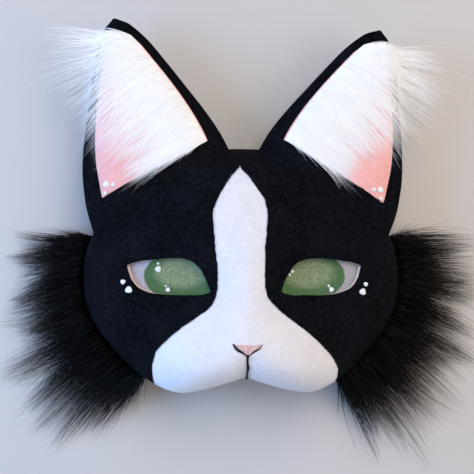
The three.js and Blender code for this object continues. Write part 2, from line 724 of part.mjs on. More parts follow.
function makeEar(row, headBulk) {
  const ear = new THREE.Group();
  const x = row.side * earSeatAcross * faceHalfWidth;
  const y = earSeatUp * faceHalfHeight;
  ear.position.set(x, y, faceHeight(x, y) + feltOut + earStep);
  ear.rotation.set(-earTilt * degrees, 0, -row.side * row.lean * degrees, "ZXY");
  ear.updateMatrix();
  const trim = headBulk.transform(ear.matrix.clone().invert().elements);

  const squeeze = (solid) => solid.scale([1, row.stretch, 1]);
  const recess = earPatch(-liningRecess, liningRecess * 8, liningOutline(row.side, gap));
  const body = squeeze(earLayer(-earWall, 0).subtract(recess)).subtract(trim);
  const liningLow = -liningRecess + gap;
  const pad = earPatch(liningLow, liningLow + liningWall, liningOutline(row.side, 0));
  const lining = squeeze(pad).subtract(trim);
  const largest = (solid) => solid.decompose().sort((a, b) => b.volume() - a.volume())[0];
  ear.add(meshOf("ear_" + row.name, largest(body), blackFelt));
  ear.add(meshOf("ear_lining_" + row.name, largest(lining), pinkFelt));
  ear.add(makeEarFur(row.name, row.side, squeeze, trim));
  return ear;
}

// A wedge of the face between two directions, used to cut strips out of its skins.
function wedgeOf(from, to, low, high) {
  const reach = faceHalfWidth * 2;
  const steps = 6;
  const outline = [new THREE.Vector2(0, 0)];
  for (let i = 0; i <= steps; i += 1) {
    const angle = mix(from, to, i / steps) * degrees;
    outline.push(new THREE.Vector2(Math.sin(angle) * reach, Math.cos(angle) * reach));
  }
  return prismOf(outline, low, high);
}

// The face's level outward direction at the widest line.
function outwards(angle) {
  const along = facePoint(1, angle + 1).sub(facePoint(1, angle - 1)).setZ(0).normalize();
  return new THREE.Vector3(-along.y, along.x, 0);
}

// Black fur round one cheek: a strip outside the rim and three layers of locks from it.
function makeCheekFur(name, side, headBulk) {
  const first = cheekFurTable[0].angle;
  const last = cheekFurTable[cheekFurTable.length - 1].angle;
  const strip = faceLayer(trimIn, trimIn + cheekFurBacking);
  const highest = rimAt(last).rim + cheekFurHeight;
  const pieces = [
    strip.intersect(wedgeOf(side * (first - 2), side * last, cheekFurFoot, cheekFurHeight)),
    strip.intersect(wedgeOf(side * cheekFurRise, side * (last + 2), cheekFurFoot, highest)),
  ];
  const rowStep = cheekFurTable[1].angle - first;
  for (const layer of cheekFurLayers) {
    cheekFurTable.forEach((row, i) => {
      const angle = row.angle + layer.shift * rowStep;
      if (angle > last) return;
      const read = (column) => readTable(cheekFurTable, "angle", angle, column);
      const root = facePoint(1.5, side * angle).addScaledVector(outwards(side * angle), trimIn);
      root.z = rimAt(angle).rim + layer.start * cheekFurHeight;
      const uneven = 1 - 0.07 * ((i * 2) % 3);
      pieces.push(
        furLock({
          root,
          turn: side > 0 ? -read("heading") * degrees : Math.PI + read("heading") * degrees,
          bend: -side * 0.09,
          length: cheekFurLength * read("length") * layer.reach * uneven,
          width: cheekFurWidth,
          thick: cheekFurThick,
          endHeight: layer.end * cheekFurHeight,
          arch: layer.arch * cheekFurHeight,
        }),
      );
    });
  }
  return meshOf("cheek_fur_" + name, wasm.Manifold.union(pieces).subtract(headBulk), blackFur);
}

// A plain elastic, glued inside both temples and lying slack along the crown's inside.
function makeStrap() {
  const high = strapClearance + strapWidth;
  const glued = faceLayer(-shellWall - gap - strapWall, -shellWall - gap);
  const ends = [-1, 1].map((side) => {
    const last = strapEndAngle + strapGluedArc;
    return glued.intersect(wedgeOf(side * strapEndAngle, side * last, strapClearance, high));
  });
  const sections = [];
  for (let i = 0; i <= strapSteps; i += 1) {
    const share = mix(-1, 1, i / strapSteps);
    const edge = facePoint(1.5, share * (strapEndAngle + strapGluedArc * 0.15)).setZ(0);
    const out = edge.clone().normalize();
    const slack = 1 - strapSlack * Math.pow(Math.cos((share * Math.PI) / 2), 2);
    const middle = edge.addScaledVector(out, -shellWall - gap - strapWall / 2).multiplyScalar(slack);
    const outer = middle.clone().addScaledVector(out, strapWall / 2);
    const inner = middle.clone().addScaledVector(out, -strapWall / 2);
    sections.push([
      inner.clone().setZ(strapClearance),
      outer.clone().setZ(strapClearance),
      outer.clone().setZ(high),
      inner.clone().setZ(high),
    ]);
  }
  const hollow = faceBulk(-shellWall - gap, below);
  const strap = wasm.Manifold.union([...ends, loft(sections)]).intersect(hollow);
  return meshOf("elastic_strap", strap, strapElastic);
}

const headBulk = faceBulk(feltOut + gap, below);
mask.add(makeShell(), makeBlackFelt(), makeWhiteFelt(), makeNose(), makeMouthLine());
for (const row of earPair) {
  mask.add(makeEyeMesh(row.name, row.side), makeCheekFur(row.name, row.side, headBulk));
  mask.add(makeEar(row, headBulk));
}
for (const row of dotTable) mask.add(makeDot(row));
mask.add(makeStrap());

export default mask;
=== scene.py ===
# %% [markdown]
# A hand-made cat mask
# This notebook dresses a finished solid model of a felt and fur cat mask. The model gives every
# size and place, and each cell below makes one piece of the real mask over it: the moulded shell,
# the felt skins, the painted eye mesh, the padded ears and the long fur.

# %% Load the solid model and the libraries
import math

import bpy
import numpy as np
from mathutils import Matrix, Vector
from mathutils.geometry import delaunay_2d_cdt
from mathutils.kdtree import KDTree


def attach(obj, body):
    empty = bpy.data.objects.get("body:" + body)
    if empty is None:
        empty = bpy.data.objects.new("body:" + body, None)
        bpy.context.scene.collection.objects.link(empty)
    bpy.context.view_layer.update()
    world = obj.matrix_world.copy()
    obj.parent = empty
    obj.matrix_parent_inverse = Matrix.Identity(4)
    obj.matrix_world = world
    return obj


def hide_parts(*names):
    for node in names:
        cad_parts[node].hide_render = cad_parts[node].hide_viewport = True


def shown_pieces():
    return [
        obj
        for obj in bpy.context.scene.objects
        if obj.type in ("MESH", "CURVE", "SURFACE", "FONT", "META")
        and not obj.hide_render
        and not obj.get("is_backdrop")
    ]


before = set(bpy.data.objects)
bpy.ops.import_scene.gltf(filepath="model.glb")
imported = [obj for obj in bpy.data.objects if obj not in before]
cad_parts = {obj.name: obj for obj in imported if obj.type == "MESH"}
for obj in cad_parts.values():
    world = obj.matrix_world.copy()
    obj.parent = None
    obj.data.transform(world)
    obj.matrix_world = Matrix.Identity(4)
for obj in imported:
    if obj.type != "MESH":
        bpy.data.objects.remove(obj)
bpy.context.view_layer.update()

# %% [markdown]
# Camera
# The photograph looks almost straight down on the mask. The camera's place and lens were worked
# out from how the left and right halves line up, so the script only repeats them. Lengths are
# written in millimetres all through, and turned into metres where a mesh or a light is made.

# %% Camera over the mask
MM = 0.001
SENSOR_WIDTH = 36.0
IMAGE_WIDTH = 474
FOCAL_PIXELS = 845
CAMERA_PLACE = Vector((-28.0, -11.97, 480.0)) * MM
CAMERA_TARGET = Vector((-2.1, 2.03, 0.0)) * MM
CAMERA_ROLL = 0.15

camera_data = bpy.data.cameras.new("camera")
camera_data.sensor_width = SENSOR_WIDTH
camera_data.lens = FOCAL_PIXELS / IMAGE_WIDTH * SENSOR_WIDTH
camera_data.clip_start = 0.01
camera = bpy.data.objects.new("camera", camera_data)
bpy.context.collection.objects.link(camera)
ahead = (CAMERA_TARGET - CAMERA_PLACE).normalized()
right = ahead.cross(Vector((0, 1, 0))).normalized()
facing = Matrix((right, right.cross(ahead), -ahead)).transposed()
turned = facing @ Matrix.Rotation(math.radians(CAMERA_ROLL), 3, "Z")
camera.matrix_world = Matrix.Translation(CAMERA_PLACE) @ turned.to_4x4()
bpy.context.scene.camera = camera
print("lens", round(camera_data.lens, 1), "mm")

# %% [markdown]
# Light and floor
# The mask was photographed indoors by soft daylight: cool from a window on the left, and warmer
# from the room on the right. Two wide area lights do that, a third fills from above, a weak one at
# the foot lifts the muzzle's underside, and a pale plain floor bounces some of it back.

# %% Soft lights
# Name, place, width, watts and colour.
LIGHTS = [
    ("window", (-700, 0, 340), 640, 6.5, (0.3, 0.55, 1.0)),
    ("room", (640, -40, 560), 600, 2.0, (1.0, 0.84, 0.7)),
    ("ceiling", (170, 460, 900), 800, 6.0, (1.0, 0.91, 0.83)),
    ("foot", (-160, -640, 240), 420, 0.65, (0.56, 0.75, 1.0)),
]
ROOM_COLOUR = (1.0, 0.98, 0.96, 1)
ROOM_STRENGTH = 0.2

for name, place, width, watts, colour in LIGHTS:
    data = bpy.data.lights.new(name, "AREA")
    data.shape = "DISK"
    data.size = width * MM
    data.energy = watts
    data.color = colour
    light = bpy.data.objects.new(name, data)
    light.location = Vector(place) * MM
    light.rotation_euler = (-light.location).to_track_quat("-Z", "Y").to_euler()
    bpy.context.collection.objects.link(light)

world = bpy.data.worlds.new("room light")
world.use_nodes = True
background = world.node_tree.nodes["Background"]
background.inputs["Color"].default_value = ROOM_COLOUR
background.inputs["Strength"].default_value = ROOM_STRENGTH
bpy.context.scene.world = world
bpy.context.scene.view_settings.view_transform = "Standard"
print(len(LIGHTS), "lights")

# %% [markdown]
# Small helpers
# Every piece is built as numbers first and then made into a mesh in one go, which is quick even
# for many thousands of strands. Materials are made of nodes, so one helper adds a node and wires
# its inputs, a few more make the kinds of node that come up most, and a pair starts and finishes a
# node group with named sockets.

# %% Make a mesh from points and faces
def mesh_object(name, points, faces):
    mesh = bpy.data.meshes.new(name)
    mesh.vertices.add(len(points))
    mesh.vertices.foreach_set("co", (np.asarray(points) * MM).ravel())
    mesh.loops.add(faces.size)
    mesh.loops.foreach_set("vertex_index", faces.ravel().astype(np.int32))
    mesh.polygons.add(len(faces))
    starts = np.arange(0, faces.size, faces.shape[1], dtype=np.int32)
    mesh.polygons.foreach_set("loop_start", starts)
    mesh.polygons.foreach_set("use_smooth", np.ones(len(faces), dtype=bool))
    mesh.update(calc_edges=True)
    made = bpy.data.objects.new(name, mesh)
    bpy.context.collection.objects.link(made)
    return made


def finish_piece(piece, material, slot, *nodes):
    piece.data.materials.append(material)
    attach(piece, "root")
    if nodes:
        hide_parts(*nodes)
    print(piece.name, len(piece.data.polygons), "faces")


def tube_faces(rows, columns):
    """Four-sided faces of a tube whose points lie in rows, each row a closed loop of columns."""
    row = np.arange(rows - 1)[:, None] * columns
    here = np.arange(columns)
    after = (here + 1) % columns
    faces = np.stack([row + here, row + columns + here, row + columns + after, row + after], -1)
    return faces.reshape(-1, 4)


# %% Add nodes
def add_node(tree, kind, wires=None, **settings):
    node = tree.nodes.new(kind)
    for key, value in settings.items():
        setattr(node, key, value)
    for socket, value in (wires or {}).items():
        if isinstance(value, bpy.types.NodeSocket):
            tree.links.new(value, node.inputs[socket])
        else:
            node.inputs[socket].default_value = value
    return node


def calculate(tree, operation, *values):
    """One step of arithmetic on numbers or sockets."""
    return add_node(tree, "ShaderNodeMath", dict(enumerate(values)), operation=operation).outputs[0]


def stretch(tree, value, low=0.0, high=1.0, to_low=0.0, to_high=1.0):
    """Map the range from low to high onto 0 to 1, or onto another range."""
    wires = {"Value": value, "From Min": low, "From Max": high, "To Min": to_low, "To Max": to_high}
    return add_node(tree, "ShaderNodeMapRange", wires).outputs[0]


def noise(tree, place, scale, detail, distortion=0.0):
    wires = {"Vector": place, "Scale": scale, "Detail": detail, "Distortion": distortion}
    return add_node(tree, "ShaderNodeTexNoise", wires).outputs[0]


def scale_colour(tree, colour, share):
    wires = {0: colour, "Scale": share}
    return add_node(tree, "ShaderNodeVectorMath", wires, operation="SCALE").outputs[0]


def blend_colours(tree, share, first, second):
    mixed = add_node(tree, "ShaderNodeMix", {0: share, 6: first, 7: second}, data_type="RGBA")
    return mixed.outputs[2]


# %% Node groups
def start_group(name, inputs):
    """A new group, the sockets that it is given and the place on the object."""
    group = bpy.data.node_groups.new(name, "ShaderNodeTree")
    for label, value in inputs.items():
        kind = "NodeSocketColor" if isinstance(value, tuple) else "NodeSocketFloat"
        socket = group.interface.new_socket(label, in_out="INPUT", socket_type=kind)
        socket.default_value = value
    given = group.nodes.new("NodeGroupInput").outputs
    place = add_node(group, "ShaderNodeTexCoord").outputs["Object"]
    return group, given, place


def finish_group(group, colour, height, **values):
    """Give the group a colour, a height and any other values as outputs."""
    group.interface.new_socket("Colour", in_out="OUTPUT", socket_type="NodeSocketColor")
    for label in ("Height", *values):
        group.interface.new_socket(label, in_out="OUTPUT", socket_type="NodeSocketFloat")
    result = group.nodes.new("NodeGroupOutput")
    for label, value in {"Colour": colour, "Height": height, **values}.items():
        group.links.new(value, result.inputs[label])
    print(len(group.nodes), "nodes in the group", group.name)
    return group


def use_group(material, group, **values):
    placed = add_node(material.node_tree, "ShaderNodeGroup", node_tree=group)
    for label, value in values.items():
        placed.inputs[label.replace("_", " ")].default_value = value
    return placed


# %% Materials
def start_material(name, roughness, **settings):
    material = bpy.data.materials.new(name)
    material.use_nodes = True
    shader = material.node_tree.nodes["Principled BSDF"]
    shader.inputs["Roughness"].default_value = roughness
    for label, value in settings.items():
        shader.inputs[label.replace("_", " ")].default_value = value
    return material, shader


def wire_colour_and_bump(material, shader, source, distance):
    tree = material.node_tree
    tree.links.new(source.outputs["Colour"], shader.inputs["Base Color"])
    wires = {"Height": source.outputs["Height"], "Distance": distance * MM, "Strength": 1.0}
    bump = add_node(tree, "ShaderNodeBump", wires)
    tree.links.new(bump.outputs["Normal"], shader.inputs["Normal"])


# %% Pale floor
FLOOR_HALF = 1500
FLOOR_LEVEL = -0.2
FLOOR_COLOUR = (0.62, 0.6, 0.59, 1)

floor_corners = np.array([[-1, -1, 0], [1, -1, 0], [1, 1, 0], [-1, 1, 0]]) * FLOOR_HALF
floor = mesh_object("floor", floor_corners + [0, 0, FLOOR_LEVEL], np.array([[0, 1, 2, 3]]))
floor_paper, _ = start_material("pale paper", 0.9, Base_Color=FLOOR_COLOUR)
floor.data.materials.append(floor_paper)
floor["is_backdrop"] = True
print("floor", 2 * FLOOR_HALF, "mm wide")

# %% [markdown]
# Felt finish
# Craft felt is a mat of short fibres. Close up it has a fine uneven nap, a broader mottle where
# the fibres are pressed, and a few light flecks of lint on the black. Three noises at those three
# sizes make the colour and the height, and the shader's sheen gives the soft rim of light.

# %% Felt nap group
NAP_SCALE = 1900
MOTTLE_SCALE = 420
PRESSED_SCALE = 60
FELT_BUMP = 0.35
LINT_COLOUR = (0.1, 0.11, 0.13, 1)


def make_felt_group():
    group, given, place = start_group("felt nap", {
        "Felt Colour": (0.5, 0.5, 0.5, 1),
        "Mottle": 0.2,
        "Fleck Colour": (1.0, 1.0, 1.0, 1),
        "Flecks": 0.0,
    })
    nap = noise(group, place, NAP_SCALE, 4)
    mottle = noise(group, place, MOTTLE_SCALE, 3)
    pressed = noise(group, place, PRESSED_SCALE, 2)
    height = calculate(group, "ADD", calculate(group, "ADD", nap, mottle), pressed)
    tone = stretch(group, height, 1.22, 1.78)
    shade = calculate(group, "MULTIPLY_ADD", tone, given["Mottle"], 1.0)
    tinted = scale_colour(group, given["Felt Colour"], shade)
    lint = add_node(group, "ShaderNodeTexVoronoi", {"Vector": place, "Scale": NAP_SCALE})
    chosen = add_node(group, "ShaderNodeSeparateColor", {0: lint.outputs["Color"]}).outputs[0]
    near = stretch(group, lint.outputs["Distance"], 0.42, 0.1)
    few = stretch(group, chosen, 0.6, 1.0)
    amount = calculate(group, "MULTIPLY", calculate(group, "MULTIPLY", near, few), given["Flecks"])
    colour = blend_colours(group, amount, tinted, given["Fleck Colour"])
    return finish_group(group, colour, height)


felt_group = make_felt_group()


def make_felt(name, colour, mottle, flecks, sheen, sheen_tint):
    material, shader = start_material(
        name, 0.95, Specular_IOR_Level=0.04, Sheen_Weight=sheen, Sheen_Roughness=0.6, Sheen_Tint=sheen_tint
    )
    nap = use_group(
        material, felt_group, Felt_Colour=colour, Mottle=mottle, Flecks=flecks, Fleck_Colour=LINT_COLOUR
    )
    wire_colour_and_bump(material, shader, nap, FELT_BUMP)
    return material


# %% Felt finishes
black_felt_finish = make_felt(
    "black felt",
    (0.00135, 0.0016, 0.00255, 1),
    mottle=3.3,
    flecks=0.5,
    sheen=0.004,
    sheen_tint=(0.6, 0.7, 1.0, 1),
)
white_felt_finish = make_felt(
    "white felt", (0.78, 0.78, 0.84, 1), mottle=0.12, flecks=0.0, sheen=0.25, sheen_tint=(1.0, 1.0, 1.0, 1)
)
pink_felt_finish = make_felt(
    "pink felt", (0.89, 0.46, 0.44, 1), mottle=0.16, flecks=0.0, sheen=0.3, sheen_tint=(1.0, 0.9, 0.9, 1)
)
print("felt finishes made")

# %% [markdown]
# The face's form
# The shell is a dome seen from above. Each direction from its middle has a reach, a fullness and
# two heights, and soft bumps are added for the brows, cheeks and muzzle. The tables repeat the
# solid model's own, so every skin made from them lies where its solid does.

# %% Tables with named columns
def named_table(columns, rows):
    """A table as one array for each named column. The first column is the one looked up."""
    return dict(zip(columns, np.array(rows, dtype=float).T))


def along_curve(t, start, end, leaving, arriving):
    """Places on a smooth curve from start to end, with its directions at both ends."""
    first = (2 * t**3 - 3 * t**2 + 1) * start + (t**3 - 2 * t**2 + t) * leaving
    return first + (3 * t**2 - 2 * t**3) * end + (t**3 - t**2) * arriving


def read_table(table, column, place):
    """A column's value at a place, on a smooth curve through the rows."""
    keys = next(iter(table.values()))
    values = table[column]
    inside = np.clip(place, keys[0], keys[-1])
    i = np.clip(np.searchsorted(keys, inside, side="right") - 1, 0, len(keys) - 2)
    slopes = np.zeros(len(keys))
    slopes[1:-1] = (values[2:] - values[:-2]) / (keys[2:] - keys[:-2])
    span = keys[i + 1] - keys[i]
    t = (inside - keys[i]) / span
    return along_curve(t, values[i], values[i + 1], slopes[i] * span, slopes[i + 1] * span)


# %% Sizes and tables of the face
FACE_HALF_WIDTH = 85.0
FACE_HALF_HEIGHT = 66.0
FACE_DEPTH = 47.0
DOME_ROUNDNESS = 2.2
RIM_TUCK = 0.04
FACE_CENTRE = np.array([0.0, -18.17, 0.0])
SHELL_WALL = 1.6
GAP = 0.3
FELT_OUT = 1.8
FELT_HEM = 0.5
FELT_ROUNDING = 0.8
ON_HEAD = 0.98
TRIM_IN = 2.1

# The angle is in degrees from the crown, and the waist and rim are shares of the depth.
RIM_TABLE = named_table(("angle", "reach", "fullness", "waist", "rim"), [
    (0, 1.015, 2.9, 0.2, 0),
    (25, 1.03, 2.7, 0.2, 0),
    (42, 1.005, 2.5, 0.22, 0),
    (60, 0.99, 2.4, 0.25, 0),
    (77, 0.995, 2.4, 0.26, 0),
    (92, 1.0, 2.4, 0.26, 0),
    (108, 1.012, 2.5, 0.25, 0),
    (124, 1.01, 2.7, 0.25, 0),
    (136, 1.02, 3.4, 0.32, 0.02),
    (147, 1.02, 5.5, 0.58, 0.3),
    (156, 1.0, 7.0, 0.74, 0.52),
    (164, 0.92, 7.0, 0.8, 0.58),
    (172, 0.84, 7.0, 0.84, 0.62),
    (180, 0.79, 7.0, 0.85, 0.64),
])
# Bumps: across, up, wide, tall and rise, as shares of the half width, half height and depth.
RELIEF_TABLE = [
    (0, 0.45, 0.5, 0.3, 0.04),
    (0, -0.12, 0.17, 0.42, 0.12),
    (0.42, 0.3, 0.28, 0.17, 0.06),
    (0.4, -0.06, 0.26, 0.2, -0.07),
    (0.66, -0.3, 0.24, 0.24, 0.07),
    (0, -0.62, 0.4, 0.34, 0.3),
    (0.29, -0.74, 0.24, 0.24, 0.12),
    (0, -0.8, 0.05, 0.2, -0.07),
]

# %% Reach and relief of the face
def rim_at(angle):
    turned = np.abs((np.asarray(angle) + 180) % 360 - 180)
    columns = ("reach", "fullness", "waist", "rim")
    reach, fullness, waist, rim = (read_table(RIM_TABLE, column, turned) for column in columns)
    return reach, fullness, waist * FACE_DEPTH, np.maximum(0, rim) * FACE_DEPTH


def relief_at(u, v):
    rise = 0.0
    for across, up, wide, tall, height in RELIEF_TABLE:
        for side in (-1, 1) if across > 0 else (1,):
            rise = rise + height * np.exp(-(((u - side * across) / wide) ** 2) - ((v - up) / tall) ** 2)
    return rise * FACE_DEPTH


# %% Points, heights and directions on the face
def smoothstep(value, low, high):
    t = np.clip((value - low) / (high - low), 0, 1)
    return t * t * (3 - 2 * t)


def dome_height(u, v, s, fullness, waist):
    falloff = np.maximum(0, 1 - s**fullness) ** (1 / DOME_ROUNDNESS)
    return waist + (FACE_DEPTH - waist + relief_at(u, v)) * falloff


def face_point(ring, angle):
    reach, fullness, waist, rim = rim_at(angle)
    skirt = np.maximum(0, ring - 1)
    s = np.where(ring < 1, np.sin(np.minimum(ring, 1) * math.pi / 2), 1 - RIM_TUCK * skirt**2)
    u = s * reach * np.sin(np.radians(angle))
    v = s * reach * np.cos(np.radians(angle))
    on_dome = dome_height(u, v, np.minimum(s, 1), fullness, waist)
    z = np.where(ring < 1, on_dome, waist + (rim - waist) * skirt)
    return np.stack([u * FACE_HALF_WIDTH, v * FACE_HALF_HEIGHT, z], -1) + FACE_CENTRE


def face_share(x, y):
    u = x / FACE_HALF_WIDTH
    v = (y - FACE_CENTRE[1]) / FACE_HALF_HEIGHT
    angle = np.degrees(np.arctan2(u, v))
    return np.hypot(u, v) / rim_at(angle)[0], angle


def face_height(x, y):
    s, angle = face_share(x, y)
    _, fullness, waist, _ = rim_at(angle)
    v = (y - FACE_CENTRE[1]) / FACE_HALF_HEIGHT
    return dome_height(x / FACE_HALF_WIDTH, v, np.minimum(s, 1), fullness, waist)


def face_surface(plane):
    """The plane's middle is the face's, its unit circle the widest line, and at 2 lies the rim."""

    def at(p):
        return face_point(np.hypot(p[:, 0], p[:, 1]), np.degrees(np.arctan2(p[:, 0], p[:, 1])))

    step = 0.002
    across = at(plane + [step, 0]) - at(plane - [step, 0])
    up = at(plane + [0, step]) - at(plane - [0, step])
    normal = np.cross(across, up)
    normal[:, 2] *= 1 - smoothstep(np.hypot(plane[:, 0], plane[:, 1]), 1.5, 2)
    return at(plane), normal / np.linalg.norm(normal, axis=1)[:, None]


def polar(ring, angle):
    """A place in the face's plane from its distance and its direction in degrees."""
    return np.stack([ring * np.sin(np.radians(angle)), ring * np.cos(np.radians(angle))], -1)


def to_plane(outline):
    s, angle = face_share(outline[:, 0], outline[:, 1])
    return polar(np.arcsin(np.minimum(s, 1)) * 2 / math.pi, angle)


print("face top", round(float(face_height(0.0, FACE_CENTRE[1])), 1), "mm")

# %% [markdown]
# Skins with cut edges
# Felt, shell and lining are all sheets of one thickness that follow a curved form and have hand-cut
# outlines. A sheet is triangulated flat between its outlines, with extra points just inside each
# cut, and then both faces are laid over the form. The cut edge is rounded by those extra points.

# %% Points inside an outline
AT_ONCE = 3000
TINY = 1e-12


def is_inside(points, loop):
    after = np.roll(loop, -1, axis=0)
    found = np.zeros(len(points), dtype=bool)
    for first in range(0, len(points), AT_ONCE):
        some = points[first : first + AT_ONCE]
        x = some[:, 0][:, None]
        y = some[:, 1][:, None]
        crosses = (loop[:, 1] > y) != (after[:, 1] > y)
        slope = (after[:, 0] - loop[:, 0]) / (after[:, 1] - loop[:, 1] + TINY)
        passed = crosses & (x < loop[:, 0] + (y - loop[:, 1]) * slope)
        found[first : first + AT_ONCE] = passed.sum(1) % 2 == 1
    return found


def in_sheet(points, loops):
    found = is_inside(points, loops[0])
    for hole in loops[1:]:
        found &= ~is_inside(points, hole)
    return found


# %% Lay a sheet over a form
EDGE_ROWS = (0.3, 0.8, 1.6)
PUFF_REACH = 5.0


def inset_rows(surface, loops, distances):
    """Rows of points at the given distances inside the cut edges."""
    rows = []
    for loop in loops:
        along = np.roll(loop, -1, axis=0) - np.roll(loop, 1, axis=0)
        inward = np.stack([-along[:, 1], along[:, 0]], -1)
        inward /= np.linalg.norm(inward, axis=1)[:, None] + TINY
        probe = 1e-3 * np.abs(loops[0]).max()
        if is_inside((loop + inward * probe)[::7], loop).mean() <= 0.5:
            inward = -inward
        if loop is not loops[0]:
            inward = -inward
        moved = surface(loop + inward * probe)[0] - surface(loop)[0]
        stretched = np.linalg.norm(moved, axis=1) / probe
        for distance in distances:
            rows.append(loop + inward * (distance / np.maximum(stretched, 1e-6))[:, None])
    return np.concatenate(rows)


def lay_sheet(name, surface, loops, filling, inner, outer, rounding, puff=0.0, edge_rows=EDGE_ROWS):
    """A sheet between two heights over a form, with rounded edges.

    The first of the loops is its outline and the others are holes, with the filling points between.
    """
    border = np.concatenate(loops)
    edges = []
    first = 0
    for loop in loops:
        count = len(loop)
        edges += [(first + i, first + (i + 1) % count) for i in range(count)]
        first += count
    tree = KDTree(len(border))
    for i, point in enumerate(surface(border)[0]):
        tree.insert(point, i)
    tree.balance()

    def from_edge(points):
        return np.array([tree.find(p)[2] for p in points])

    rows = inset_rows(surface, loops, edge_rows)
    rows = rows[(from_edge(surface(rows)[0]) > edge_rows[0] * 0.8) & in_sheet(rows, loops)]
    filling = filling[(from_edge(surface(filling)[0]) > edge_rows[-1] * 1.4) & in_sheet(filling, loops)]
    flat = np.concatenate([border, rows, filling])
    made = delaunay_2d_cdt([Vector(p) for p in flat.tolist()], edges, [], 0, 1e-6)
    flat = np.array([tuple(p) for p in made[0]])
    faces = np.array(made[2])
    faces = faces[in_sheet(flat[faces].mean(1), loops)]
    points, normals = surface(flat)
    away = from_edge(points)
    bend = np.clip(1 - away / rounding, 0, 1)
    lift = outer - rounding * (1 - np.sqrt(1 - bend**2)) + puff * (1 - np.exp(-away / PUFF_REACH))
    top = points + normals * lift[:, None]
    bottom = points + normals * inner
    directed = np.concatenate([faces[:, [0, 1]], faces[:, [1, 2]], faces[:, [2, 0]]])
    _, where, times = np.unique(np.sort(directed, axis=1), axis=0, return_inverse=True, return_counts=True)
    a, b = directed[times[where.ravel()] == 1].T
    count = len(flat)
    walls = np.concatenate([np.stack([b, a, a + count], -1), np.stack([b, a + count, b + count], -1)])
    all_faces = np.concatenate([faces, faces[:, ::-1] + count, walls])
    return mesh_object(name, np.concatenate([top, bottom]), all_faces)


# %% Points that fill the face, and its lower edge
rng = np.random.default_rng(7)
FILL_STEP = 0.021
SKIRT_STEP = 1.4


def face_filling():
    rows = np.arange(-1, 1, FILL_STEP * 0.87)
    columns = np.arange(-1, 1, FILL_STEP)
    dome = np.array([(x + (i % 2) * FILL_STEP / 2, y) for i, y in enumerate(rows) for x in columns])
    dome = dome[np.hypot(dome[:, 0], dome[:, 1]) < 0.99]
    rings = []
    for ring in (1.0, 1.1, 1.2, 1.32, 1.45, 1.6, 1.75, 1.88):
        turn = np.arange(0, 360, SKIRT_STEP) + SKIRT_STEP / 2 * len(rings) % SKIRT_STEP
        rings.append(polar(ring, turn))
    return np.concatenate([dome, *rings])


filling = face_filling()
filling += rng.normal(0, FILL_STEP * 0.03, filling.shape)


def ring_arc(start, end, lowest=0.0):
    """The skin's lower edge between two directions, no lower than a height over the floor."""
    angle = np.linspace(start, end, max(2, int(abs(end - start) / 1.1)))
    _, _, waist, rim = rim_at(angle)
    ring = np.where(rim > lowest, 2.0, 1 + (waist - lowest) / np.maximum(waist - rim, 1e-6))
    return polar(np.minimum(ring, 2.0), angle)


print(len(filling), "points fill the face")

# %% [markdown]
# Outlines of the eyes and the blaze
# The eye openings and the white felt are cut by hand, with leaf-shaped eyes and a narrow blaze
# that widens into the muzzle. Their tables give a few points, a smooth curve runs through them,
# and a slight unevenness is added because scissors never follow the line exactly.

# %% Eye and blaze tables
EYE_LENGTH = 43.5
EYE_HEIGHT = 19.8
EYE_SPACING = 78.7
EYE_LIFT = -1.6
SHELL_EDGE_SHOWN = 0.8
MESH_OVERLAP = 4.5
# Along the eye from its outer corner and up, as shares of its length and height.
UPPER_LID = [
    (0, 0.3), (0.14, 0.39), (0.3, 0.445), (0.5, 0.495),
    (0.69, 0.47), (0.83, 0.31), (0.93, -0.02), (1, -0.4),
]
LOWER_LID = [
    (1, -0.4), (0.89, -0.475), (0.7, -0.49), (0.46, -0.48),
    (0.27, -0.415), (0.12, -0.26), (0.035, 0.02), (0, 0.3),
]
BLAZE_HALF_WIDTH = 14.0
MUZZLE_HALF_WIDTH = 47.0
BLAZE_TOP = 56.7
MUZZLE_BOTTOM = -70.0
# Down from the blaze's top, half widths as shares of the blaze's and the muzzle's, and the shift
# as a share of the blaze's.
BLAZE_TABLE = named_table(("down", "blaze", "muzzle", "shift"), [
    (0, 0, 0, -0.18),
    (0.06, 0.37, 0, -0.2),
    (0.14, 0.815, 0, -0.18),
    (0.187, 0.975, 0, -0.2),
    (0.231, 1, 0, -0.22),
    (0.35, 0.89, 0, -0.22),
    (0.45, 0.82, 0, -0.18),
    (0.512, 0.845, 0, -0.18),
    (0.552, 0.94, 0, -0.16),
    (0.592, 0, 0.365, -0.12),
    (0.62, 0, 0.46, -0.14),
    (0.676, 0, 0.67, -0.16),
    (0.712, 0, 0.78, -0.16),
    (0.754, 0, 0.892, -0.14),
    (0.792, 0, 0.957, -0.06),
    (0.84, 0, 1, 0.02),
    (0.9, 0, 0.98, 0.04),
    (1, 0, 0.92, 0.04),
])
CUT_UNEVENNESS = 0.1

# %% Turn the tables into outlines
def curve_through(points, steps):
    """A smooth curve through a few points, as a bent strip of wood would take."""
    p = np.array(points, dtype=float)
    t = np.linspace(0, 1, steps, endpoint=False)[:, None]
    found = []
    for i in range(len(p) - 1):
        before, after = p[max(i - 1, 0)], p[min(i + 2, len(p) - 1)]
        found.append(along_curve(t, p[i], p[i + 1], (p[i + 1] - before) / 2, (after - p[i]) / 2))
    return np.concatenate(found)


def uneven(count, size):
    """Small errors along a cut line, each one close to its neighbours."""
    error = rng.normal(0, 1, count)
    return (np.roll(error, 1) + error + np.roll(error, -1)) / 1.7 * size


